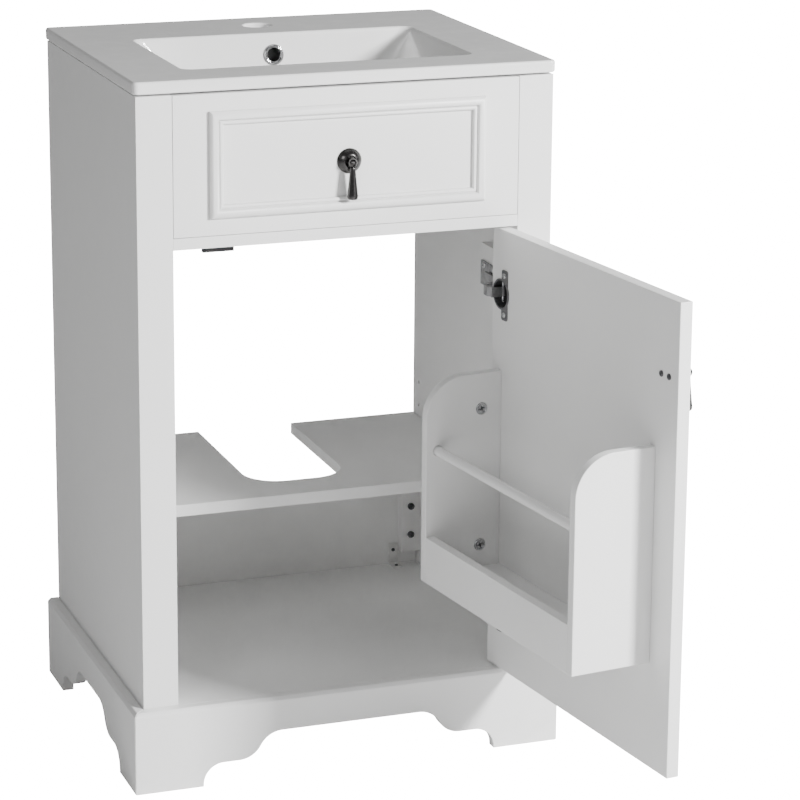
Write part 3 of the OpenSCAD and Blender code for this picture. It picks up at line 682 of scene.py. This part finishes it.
DOOR_OPEN = math.radians(97.2)
DOOR_LOW = Vector((-0.2105, -0.008, 0.105))
DOOR_HIGH = Vector((0.2105, 0.008, 0.659))
HINGE_PIN = Vector((0.1995, -0.0005, 0.0))
CUP_X = DOOR_HIGH.x - 0.0225
CUP_R = 0.0175
CUP_DEPTH = 0.0124
DOOR_EASE = 0.001
DOOR_MOULDING_IN, DOOR_MOULDING_UP = 0.0475, 0.045
FLANGE_T = 0.0012
CUP_SCREW_X = DOOR_HIGH.x - 0.0315
CUP_SCREW_DZ = 0.024


def swing_open(obj):
    """turns a piece made with the door closed to the open resting place"""
    turn = Matrix.Rotation(DOOR_OPEN, 4, "Z")
    obj.rotation_euler = (0, 0, DOOR_OPEN)
    obj.location = HINGE_PIN - turn @ HINGE_PIN
    apply_place(obj)
    return obj


door = eased_board("door_leaf", DOOR_LOW, DOOR_HIGH, ease=DOOR_EASE, segments=3)
drill(door, [(CUP_X, DOOR_HIGH.y, z) for z in HINGE_ZS], (0, -1, 0), CUP_R, CUP_DEPTH, sides=48)
settle(swing_open(door), "door", satin_lacquer, "white_lacquer", "door_panel")

door_moulding = mitred_moulding("door_leaf_moulding", DOOR_LOW.x + DOOR_MOULDING_IN,
                                DOOR_HIGH.x - DOOR_MOULDING_IN, DOOR_LOW.z + DOOR_MOULDING_UP,
                                DOOR_HIGH.z - DOOR_MOULDING_UP, DOOR_LOW.y)
settle(swing_open(door_moulding), "door", satin_lacquer, "white_lacquer", "door_moulding")

cups = softened_copy("hinge_cups", "hinge_cup_pair", 0.00025)
settle(cups, "door", dark_nickel, "hinge_steel", "hinge_cups")
repaint("hinge_pins", zinc)

cup_screw = cross_screw("cup_screw", 0.0034, 0.0016, 0.0018, 0.008, (0, 1, 0))
cup_screws = copies_at(cup_screw, "hinge_cup_screws_set",
                       [(CUP_SCREW_X, DOOR_HIGH.y + FLANGE_T, z + dz)
                        for z in HINGE_ZS for dz in (-CUP_SCREW_DZ, CUP_SCREW_DZ)])
settle(swing_open(cup_screws), "door", zinc, "zinc_steel", "hinge_cup_screws")

# ---- Door rack ----
# Two end boards with a round top corner, a tray board, a low front board and a loose
# wooden rod, all lacquered. Cam locks pull the end boards up to the door.

RACK_D = 0.102
RACK_T = 0.012
RACK_Z = 0.230
RACK_H = 0.255
RACK_CORNER_R = 0.050
RACK_HINGE_X = 0.196
RACK_FREE_X = RACK_HINGE_X - 0.364
RACK_BACK_Y = DOOR_HIGH.y
RACK_FACE_Y = RACK_BACK_Y + RACK_D
ROD_Y = RACK_FACE_Y - 0.016
ROD_Z = RACK_Z + 0.165
CAM_Y = RACK_BACK_Y + 0.027
CAM_ZS = (RACK_Z + 0.038, RACK_Z + 0.211)
CAM_R = 0.0075
CAM_HOLE_R, CAM_HOLE_DEPTH = CAM_R + 0.0003, 0.0082
ROD_R = 0.006
ROD_END = 0.0075
ROD_HOLE_R, ROD_HOLE_DEPTH = 0.0068, 0.0080
TRAY_T = 0.010
FRONT_BOARD_H = 0.058

for node, low_x, inner_x, out in (("rack_hinge_end", RACK_HINGE_X - RACK_T, RACK_HINGE_X - RACK_T, 1),
                                  ("rack_free_end", RACK_FREE_X, RACK_FREE_X + RACK_T, -1)):
    end_board = eased_board(node + "_board", (low_x, RACK_BACK_Y, RACK_Z),
                            (low_x + RACK_T, RACK_FACE_Y, RACK_Z + RACK_H), ease=0)
    pick(end_board, "EDGE", lambda a, b: min(a.y, b.y) > RACK_FACE_Y - 1e-4
         and min(a.z, b.z) > RACK_Z + RACK_H - 1e-4)
    bpy.ops.mesh.bevel(offset=RACK_CORNER_R, segments=24, affect="EDGES")
    bpy.ops.object.mode_set(mode="OBJECT")
    shape_with(end_board, "BEVEL", width=DOOR_EASE, segments=3, limit_method="ANGLE",
               angle_limit=math.radians(40))
    drill(end_board, [(inner_x, ROD_Y, ROD_Z)], (out, 0, 0), ROD_HOLE_R, ROD_HOLE_DEPTH)
    drill(end_board, [(inner_x, CAM_Y, z) for z in CAM_ZS], (out, 0, 0), CAM_HOLE_R, CAM_HOLE_DEPTH)
    settle(swing_open(end_board), "door", satin_lacquer, "white_lacquer", node)

rack_in_x = (RACK_FREE_X + RACK_T, RACK_HINGE_X - RACK_T)
tray = eased_board("rack_tray_board", (rack_in_x[0], RACK_BACK_Y, RACK_Z),
                   (rack_in_x[1], RACK_FACE_Y - RACK_T, RACK_Z + TRAY_T))
settle(swing_open(tray), "door", satin_lacquer, "white_lacquer", "rack_tray")
rack_front = eased_board("rack_front_rail", (rack_in_x[0], RACK_FACE_Y - RACK_T, RACK_Z),
                         (rack_in_x[1], RACK_FACE_Y, RACK_Z + FRONT_BOARD_H), ease=DOOR_EASE, segments=3)
settle(swing_open(rack_front), "door", satin_lacquer, "white_lacquer", "rack_front_board")

rod_length = rack_in_x[1] - rack_in_x[0] + 2 * ROD_END
rod = turned("rack_round_rod", [(ROD_R - 0.0006, 0), (ROD_R, 0.0006), (ROD_R, rod_length - 0.0006),
                                (ROD_R - 0.0006, rod_length)],
             direction=(1, 0, 0), at=(rack_in_x[0] - ROD_END, ROD_Y, ROD_Z), sides=40)
settle(swing_open(rod), "rack_rod", satin_lacquer, "white_lacquer", "rack_rod")


def cam_lock(direction):
    """a cam lock seen from its face: a raised rim, a sunk disc and a cross recess"""
    cam = turned("cam_lock", [(CAM_R - 0.0005, -0.0076), (CAM_R - 0.0005, 0.0002), (CAM_R - 0.0008, 0.0005),
                              (CAM_R - 0.0018, 0.0005), (CAM_R - 0.0021, 0.0002),
                              (CAM_R - 0.0022, -0.0012), (CAM_R - 0.0030, -0.0012),
                              (CAM_R - 0.0031, 0.0002), (CAM_R - 0.0040, 0.0003)],
                 direction=direction, sides=40)
    cut_cross(cam, direction, 0.0001, (0.0076, 0.0021, 0.0120), 20)
    return cam


hinge_side_cams = copies_at(cam_lock((-1, 0, 0)), "rack_cams_hinge_side",
                            [(rack_in_x[1], CAM_Y, z) for z in CAM_ZS])
cam_set = copies_at(cam_lock((1, 0, 0)), "rack_cam_locks", [(rack_in_x[0], CAM_Y, z) for z in CAM_ZS])
select_only(hinge_side_cams, cam_set)
bpy.ops.object.join()
settle(swing_open(cam_set), "door", zinc, "zinc_steel", "rack_cams")
repaint("rack_cam_bolts", zinc)

# ---- Pulls ----
# Cast drop pulls in dark gunmetal: a domed rosette with a socket, a slotted ball post and
# a tapered pendant on a cross pin. Two machine screws come through from behind.

ROSETTE = [(0.0150, 0.0), (0.0150, 0.0009), (0.0148, 0.0013), (0.0139, 0.0020), (0.0127, 0.0034),
           (0.0112, 0.0048), (0.0097, 0.0059), (0.0083, 0.0067), (0.0076, 0.0069), (0.0070, 0.0067),
           (0.0066, 0.0060), (0.0064, 0.0048), (0.0062, 0.0037), (0.0038, 0.0036), (0.0035, 0.0045),
           (0.0034, 0.0095)]
POST_L = 0.013
BALL_R = 0.0054
SLOT_W = 0.0036
EYE_BORE_R = 0.00118
PULL_SCREW_DX = 0.008
PENDANT = [(0.0013, -0.0024), (0.0015, -0.0052), (0.0028, -0.0056), (0.0033, -0.0062), (0.0034, -0.0075),
           (0.0036, -0.0110), (0.0040, -0.0160), (0.0044, -0.0200), (0.0048, -0.0240), (0.0053, -0.0290),
           (0.0058, -0.0335), (0.0062, -0.0370), (0.0064, -0.0396), (0.0063, -0.0414), (0.0058, -0.0428),
           (0.0049, -0.0436), (0.0036, -0.0440)]

gunmetal_group, given, result, place = new_group(
    "Aged gunmetal",
    [("Body", "Color", (0.075, 0.073, 0.073, 1)), ("Rub", "Color", (0.13, 0.125, 0.12, 1)),
     ("Pit", "Color", (0.045, 0.044, 0.044, 1))])
patina = noise(gunmetal_group, place, 160.0, 6.0, 0.65)
pits = noise(gunmetal_group, place, 900.0, 3.0, 0.6)
rubbed = ranged(gunmetal_group, patina, 0.55, 0.78)
pitted = ranged(gunmetal_group, pits, 0.62, 0.78)
skin = blended(gunmetal_group, rubbed, given.outputs["Body"], given.outputs["Rub"])
gunmetal_group.links.new(blended(gunmetal_group, pitted, skin, given.outputs["Pit"]), result.inputs["Color"])
gunmetal_group.links.new(ranged(gunmetal_group, patina, 0.3, 0.75, 0.30, 0.20), result.inputs["Roughness"])
gunmetal_group.links.new(bumped(gunmetal_group, pits, 0.00003, 0.4), result.inputs["Normal"])
gunmetal = finish_of("Dark gunmetal", gunmetal_group, {}, Metallic=1.0)


def pull_rosette(name):
    """the rosette and its ball post, facing -Y from the wood, slotted for the pendant"""
    rosette = turned(name, ROSETTE, direction=(0, -1, 0), sides=48)
    bpy.ops.object.select_all(action="DESELECT")
    bpy.ops.mesh.primitive_uv_sphere_add(segments=32, ring_count=20, radius=BALL_R, location=(0, -POST_L, 0))
    ball = bpy.context.object
    apply_place(ball)
    carve(rosette, ball, "UNION")
    slot_bar = eased_board("slot_bar", (-SLOT_W / 2, -POST_L - 0.010, -0.010),
                           (SLOT_W / 2, -POST_L + 0.004, 0.0042), ease=0)
    carve(rosette, slot_bar)
    return rosette


def pull_pendant(name):
    """the pendant, hanging from an eye that turns on the cross pin"""
    pendant = turned(name, PENDANT[::-1], sides=36)
    eye = turned("eye", [(0.0036, -0.0016), (0.0039, -0.0013), (0.0039, 0.0013), (0.0036, 0.0016)],
                 direction=(1, 0, 0), sides=32)
    carve(pendant, eye, "UNION")
    pendant.location = (0, -POST_L, 0)
    apply_place(pendant)
    drill(pendant, [(0, -POST_L, 0)], (1, 0, 0), EYE_BORE_R, 0.01, sides=24)
    return pendant


low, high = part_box("drawer_pull_rosette")
DRAWER_PULL = Vector((0, high.y, (low.z + high.z) / 2))
DOOR_PULL = Vector((DOOR_LOW.x + 0.027, DOOR_LOW.y, 0.571))

for name, at, body, moving, turn_out in (
        ("drawer_pull", DRAWER_PULL, "cabinet", "drawer_pendant", False),
        ("door_pull", DOOR_PULL, "door", "door_pendant", True)):
    for piece, rides, node in ((pull_rosette(name + "_dome"), body, name + "_rosette"),
                               (pull_pendant(name + "_drop"), moving, name + "_pendant")):
        piece.location = at
        apply_place(piece)
        if turn_out:
            swing_open(piece)
        settle(piece, rides, gunmetal, "dark_bronze", node)
    repaint(name + "_pin", gunmetal)

pull_screw = cross_screw("pull_screw", 0.0038, 0.0016, 0.0019, 0.012, (0, 1, 0))
door_pull_screws = copies_at(pull_screw, "door_pull_screw_pair",
                             [(DOOR_PULL.x + dx, DOOR_HIGH.y, DOOR_PULL.z)
                              for dx in (-PULL_SCREW_DX, PULL_SCREW_DX)])
settle(swing_open(door_pull_screws), "door", black_oxide, "dark_bronze", "door_pull_screws")
repaint("drawer_pull_screws", zinc)

# ---- Ceramic sink top ----
# One slip-cast and glazed piece: a flat rim with soft arrises, a basin that falls away to
# a funnelled floor, a faucet hole, a drain boss and an overflow duct under the rim.

TOP_LOW = Vector((-0.260, -0.010, 0.843))
TOP_HIGH = Vector((0.260, 0.415, 0.860))
MOUTH_HALF, MOUTH_FRONT, MOUTH_BACK, MOUTH_R = 0.180, 0.060, 0.286, 0.012
FLOOR_HALF, FLOOR_FRONT, FLOOR_BACK, FLOOR_R = 0.105, 0.094, 0.270, 0.034
DRAIN_Y = 0.192
DRAIN_R = 0.0225
CORNER_STEPS = 9
GAP = 0.0022


def mouth_ring(depth, share, grow=0.0):
    """a basin outline part way from its mouth (share 0) to its floor (share 1)"""
    def mix(a, b):
        return a + (b - a) * share
    return (mix(MOUTH_HALF, FLOOR_HALF) + grow, mix(MOUTH_FRONT, FLOOR_FRONT) - grow,
            mix(MOUTH_BACK, FLOOR_BACK) + grow, mix(MOUTH_R, FLOOR_R) + grow, TOP_HIGH.z - depth)


def slab_ring(inset, z):
    return (TOP_HIGH.x - inset, TOP_LOW.y + inset, TOP_HIGH.y - inset, max(0.007 - inset, 0.0015), z)


def drain_ring(radius, z):
    return (radius, DRAIN_Y - radius, DRAIN_Y + radius, radius, z)


rings = [drain_ring(DRAIN_R, 0.7292), drain_ring(DRAIN_R, 0.7410), drain_ring(DRAIN_R + 0.0006, 0.7424),
         drain_ring(DRAIN_R + 0.0018, 0.7436), drain_ring(DRAIN_R + 0.0036, 0.7443),
         drain_ring(DRAIN_R + 0.014, 0.7448)]
rings += [mouth_ring(depth, share) for share, depth in
          ((1.30, 0.1149), (1.20, 0.1144), (1.10, 0.1130), (1.02, 0.1105), (0.955, 0.1068), (0.90, 0.1020),
           (0.85, 0.0965), (0.78, 0.0890), (0.60, 0.0688), (0.40, 0.0462), (0.20, 0.0236), (0.10, 0.0123),
           (0.05, 0.0066), (0.030, 0.0043))]
rings += [mouth_ring(0.0026, 0.014), mouth_ring(0.0016, 0.0, 0.0004), mouth_ring(0.0008, 0.0, 0.0010),
          mouth_ring(0.0003, 0.0, 0.0017), mouth_ring(0.0, 0.0, 0.0028), mouth_ring(0.0, 0.0, 0.0040)]
rings += [slab_ring(0.0042, TOP_HIGH.z), slab_ring(0.0030, TOP_HIGH.z)]
rings += [slab_ring(0.0030 * (1 - math.sin(a)), TOP_HIGH.z - 0.0030 * (1 - math.cos(a)))
          for a in (math.radians(18), math.radians(36), math.radians(54), math.radians(72), math.radians(90))]
rings += [slab_ring(0.0, TOP_LOW.z + 0.0046), slab_ring(0.0004, TOP_LOW.z + 0.0034),
          slab_ring(0.0014, TOP_LOW.z + 0.0025), slab_ring(0.0026, TOP_LOW.z + GAP),
          slab_ring(0.0130, TOP_LOW.z + GAP), slab_ring(0.0135, TOP_LOW.z)]
rings += [mouth_ring(TOP_HIGH.z - TOP_LOW.z, 0.02, 0.014), mouth_ring(0.0190, 0.06, 0.011),
          mouth_ring(0.0230, 0.12, 0.0100), mouth_ring(0.0800, 0.62, 0.0100),
          mouth_ring(0.1100, 0.88, 0.0095), mouth_ring(0.1200, 1.02, 0.0085),
          mouth_ring(0.1245, 1.16, 0.0075)]
rings += [drain_ring(0.0375, 0.7349), drain_ring(0.0350, 0.7335), drain_ring(0.0340, 0.7300),
          drain_ring(0.0330, 0.7292)]

bpy.ops.object.select_all(action="DESELECT")
bpy.ops.mesh.primitive_plane_add(size=1)
sink = bpy.context.object
sink.name = "ceramic_sink_top"
bpy.ops.object.mode_set(mode="EDIT")
bpy.ops.mesh.select_all(action="SELECT")
bpy.ops.mesh.delete(type="VERT")

# The outlines are drawn well apart up a tall column, bridged one to the next, and only
# then lowered to their real heights.
COLUMN_START, COLUMN_STEP = 2.0, 0.25


def at_ring(index, *points):
    height = COLUMN_START + COLUMN_STEP * (index % len(rings))
    return all(abs(point.z - height) < 0.01 for point in points)


for index, (half, front, back, radius, z) in enumerate(rings):
    bpy.ops.mesh.primitive_plane_add(size=1, location=(0, 0, 0))
    bpy.ops.transform.resize(value=(2 * half, back - front, 1), center_override=(0, 0, 0))
    bpy.ops.transform.translate(value=(0, (front + back) / 2, COLUMN_START + COLUMN_STEP * index))
    bpy.ops.mesh.bevel(offset=min(radius, half * 0.9999, (back - front) * 0.49999), offset_type="OFFSET",
                       segments=CORNER_STEPS, affect="VERTICES", clamp_overlap=False)
    bpy.ops.mesh.delete(type="ONLY_FACE")
for index in range(len(rings)):
    pick(sink, "EDGE", lambda a, b: at_ring(index, a, b) or at_ring(index + 1, a, b))
    bpy.ops.mesh.bridge_edge_loops()
for index, ring in enumerate(rings):
    pick(sink, "VERT", lambda co: at_ring(index, co))
    bpy.ops.transform.translate(value=(0, 0, ring[-1] - COLUMN_START - COLUMN_STEP * index))
bpy.ops.mesh.select_all(action="SELECT")
bpy.ops.mesh.normals_make_consistent(inside=False)
bpy.ops.object.mode_set(mode="OBJECT")

DUCT_LOW, DUCT_HIGH = Vector((-0.024, 0.289, 0.771)), Vector((0.024, 0.306, 0.8435))
DUCT_LEAN = 0.010
DUCT_CORNER_R = 0.006
duct = eased_board("overflow_duct", DUCT_LOW, DUCT_HIGH, ease=0)
pick(duct, "VERT", lambda co: co.y < DUCT_LOW.y + 0.001 and co.z < DUCT_LOW.z + 0.001)
bpy.ops.transform.translate(value=(0, -DUCT_LEAN, 0))
bpy.ops.object.mode_set(mode="OBJECT")
pick(duct, "EDGE", lambda a, b: min(a.y, b.y) > DUCT_HIGH.y - 0.001)
bpy.ops.mesh.bevel(offset=DUCT_CORNER_R, segments=4, affect="EDGES")
bpy.ops.object.mode_set(mode="OBJECT")
carve(sink, duct, "UNION")

FAUCET_AT = (0.0, 0.3505, TOP_HIGH.z)
FAUCET_R = 0.0175
faucet_bore = turned("faucet_bore", [(FAUCET_R, -0.040), (FAUCET_R, -0.0030), (FAUCET_R + 0.0002, -0.0018),
                                     (FAUCET_R + 0.0008, -0.0008), (FAUCET_R + 0.0017, -0.0002),
                                     (FAUCET_R + 0.0030, 0.0001), (FAUCET_R + 0.0030, 0.010)],
                     at=FAUCET_AT, sides=56)
carve(sink, faucet_bore)
OVERFLOW_AT = (0.0, 0.28224, 0.833)
OVERFLOW_R, OVERFLOW_DEPTH = 0.011, 0.016
WALL_LEAN = math.radians(7.92)
into_wall = (0.0, math.cos(WALL_LEAN), -math.sin(WALL_LEAN))
drill(sink, [OVERFLOW_AT], into_wall, OVERFLOW_R, OVERFLOW_DEPTH, sides=48)

glaze_group, given, result, place = new_group(
    "White ceramic glaze",
    [("Glaze", "Color", (0.80, 0.80, 0.795, 1)), ("Thin", "Color", (0.72, 0.72, 0.71, 1)),
     ("Gloss Low", "Float", 0.10), ("Gloss High", "Float", 0.20)])
pooling = noise(glaze_group, place, 6.0, 3.0)
glaze = blended(glaze_group, ranged(glaze_group, pooling, 0.4, 0.75, 0.0, 0.6),
                given.outputs["Glaze"], given.outputs["Thin"])
# Painted shade: inside the overflow hole the glaze colour turns near black, standing in for the shade deep in
# the duct.
PASSAGE_PAINTED_SHADE = (0.05, 0.05, 0.05, 1)
parts = glaze_group.nodes.new("ShaderNodeSeparateXYZ")
glaze_group.links.new(place, parts.inputs[0])
near_axis = ranged(glaze_group, multiplied(glaze_group, parts.outputs["X"], parts.outputs["X"]),
                   0.00013, 0.00015, 1.0, 0.0)
above_duct = ranged(glaze_group, parts.outputs["Z"], 0.8160, 0.8170)
under_rim = ranged(glaze_group, parts.outputs["Z"], 0.8470, 0.8480, 1.0, 0.0)
inside = ranged(glaze_group, parts.outputs["Y"], 0.2855, 0.2885)
# Where the painted shade goes: the walls inside the overflow hole.
passage_shade_mask = multiplied(glaze_group, multiplied(glaze_group, near_axis, inside),
                     multiplied(glaze_group, above_duct, under_rim))
glaze_group.links.new(blended(glaze_group, passage_shade_mask, glaze, PASSAGE_PAINTED_SHADE), result.inputs["Color"])
film = noise(glaze_group, place, 42.0, 5.0, 0.6)
glaze_group.links.new(ranged(glaze_group, film, 0.35, 0.7, given.outputs["Gloss Low"],
                             given.outputs["Gloss High"]), result.inputs["Roughness"])
ripple = noise(glaze_group, place, 26.0, 2.0, 0.4)
glaze_group.links.new(bumped(glaze_group, ripple, 0.0003, 0.3), result.inputs["Normal"])
glazed_ceramic = finish_of("Glazed white ceramic", glaze_group, {}, IOR=1.52, Coat_Weight=0.4,
                           Coat_Roughness=0.06)
settle(sink, "cabinet", glazed_ceramic, "ceramic", "sink_top")

# ---- Overflow ring ----
# A chrome-plated brass ring pressed into the overflow hole in the basin's back wall.

chrome = finish_of("Chrome plate", steel_group,
                   {"Plate": (0.62, 0.62, 0.63, 1), "Dull": (0.50, 0.50, 0.51, 1),
                    "Polish": 0.06, "Wear": 0.16, "Grain": (1, 1, 1)}, Metallic=1.0)
overflow_ring = softened_copy("overflow_ring", "chrome_overflow_ring", 0.0002)
settle(overflow_ring, "cabinet", chrome, "chrome", "overflow_ring")

# ---- Studio ----
# A pale floor, a soft key box at the front right, four weaker boxes round and above, and a
# white surround that gives the fill. None of it is part of the vanity.

CAMERA_AT = Vector((-1.15035, -3.33326, 1.46689))
CAMERA_YAW, CAMERA_PITCH, CAMERA_ROLL = -0.35029, 0.24521, 0.00753
CAMERA_LENS = 138.04
CAMERA_RISE = -0.125
SEEN_WHITE = 18.0
SURROUND_FILL = 0.20
STUDIO_AIM = Vector((0, 0.1, 0.45))

ahead = Vector((-math.sin(CAMERA_YAW) * math.cos(CAMERA_PITCH),
                math.cos(CAMERA_YAW) * math.cos(CAMERA_PITCH), -math.sin(CAMERA_PITCH)))
level = Vector((math.cos(CAMERA_YAW), math.sin(CAMERA_YAW), 0))
above = level.cross(ahead)
camera_x = level * math.cos(CAMERA_ROLL) + above * math.sin(CAMERA_ROLL)
camera_y = above * math.cos(CAMERA_ROLL) - level * math.sin(CAMERA_ROLL)
facing = Matrix((camera_x, camera_y, -ahead)).transposed()
bpy.ops.object.select_all(action="DESELECT")
bpy.ops.object.camera_add(location=CAMERA_AT, rotation=facing.to_euler())
camera = bpy.context.object
camera.data.lens = CAMERA_LENS
camera.data.sensor_width = 36
camera.data.shift_y = CAMERA_RISE
bpy.context.scene.camera = camera

# Each box's name, place, width and power.
for name, at, width, power in (("key_box", (1.87, -2.58, 1.90), 0.55, 312),
                               ("left_fill_box", (-2.31, -2.21, 1.97), 1.2, 21),
                               ("right_side_box", (3.37, 0.40, 1.68), 1.2, 20),
                               ("overhead_box", (0.0, 0.0, 4.05), 2.0, 16),
                               ("back_box", (0.70, 2.45, 3.00), 1.4, 9)):
    bpy.ops.object.select_all(action="DESELECT")
    turn = (Vector(at) - STUDIO_AIM).to_track_quat("Z", "Y").to_euler()
    bpy.ops.object.light_add(type="AREA", location=at, rotation=turn)
    box = bpy.context.object
    box.name = name
    box.data.shape = "SQUARE"
    box.data.size = width
    box.data.energy = power

bpy.ops.object.select_all(action="DESELECT")
bpy.ops.mesh.primitive_plane_add(size=14, location=(0, 0, 0))
floor = bpy.context.object
floor.name = "studio_floor"
floor_group, given, result, place = new_group(
    "Pale floor", [("Tone", "Color", (0.92, 0.92, 0.92, 1))])
haze = noise(floor_group, place, 0.8, 2.0)
floor_group.links.new(blended(floor_group, ranged(floor_group, haze, 0.4, 0.7, 0.0, 0.2),
                              given.outputs["Tone"], (0.88, 0.88, 0.88, 1)), result.inputs["Color"])
floor_group.links.new(ranged(floor_group, haze, 0.3, 0.7, 0.8, 0.9), result.inputs["Roughness"])
floor_group.links.new(bumped(floor_group, haze, 0.0001, 0.1), result.inputs["Normal"])
pale_floor = finish_of("Pale floor", floor_group, {}, Emission_Color=(1, 1, 1, 1))
tree = pale_floor.node_tree
glow = tree.nodes.new("ShaderNodeMath")
glow.operation = "MULTIPLY"
glow.inputs[1].default_value = SEEN_WHITE
tree.links.new(tree.nodes.new("ShaderNodeLightPath").outputs["Is Camera Ray"], glow.inputs[0])
tree.links.new(glow.outputs[0], tree.nodes["Principled BSDF"].inputs["Emission Strength"])
floor.data.materials.append(pale_floor)

world = bpy.data.worlds.new("White surround")
bpy.context.scene.world = world
world.use_nodes = True
tree = world.node_tree
tree.nodes.clear()
seen = tree.nodes.new("ShaderNodeLightPath")
fill = tree.nodes.new("ShaderNodeBackground")
fill.inputs["Strength"].default_value = SURROUND_FILL
shown = tree.nodes.new("ShaderNodeBackground")
shown.inputs["Strength"].default_value = SEEN_WHITE
for node in (fill, shown):
    node.inputs["Color"].default_value = (1, 1, 1, 1)
either = tree.nodes.new("ShaderNodeMixShader")
tree.links.new(seen.outputs["Is Camera Ray"], either.inputs[0])
tree.links.new(fill.outputs[0], either.inputs[1])
tree.links.new(shown.outputs[0], either.inputs[2])
tree.links.new(either.outputs[0], tree.nodes.new("ShaderNodeOutputWorld").inputs["Surface"])
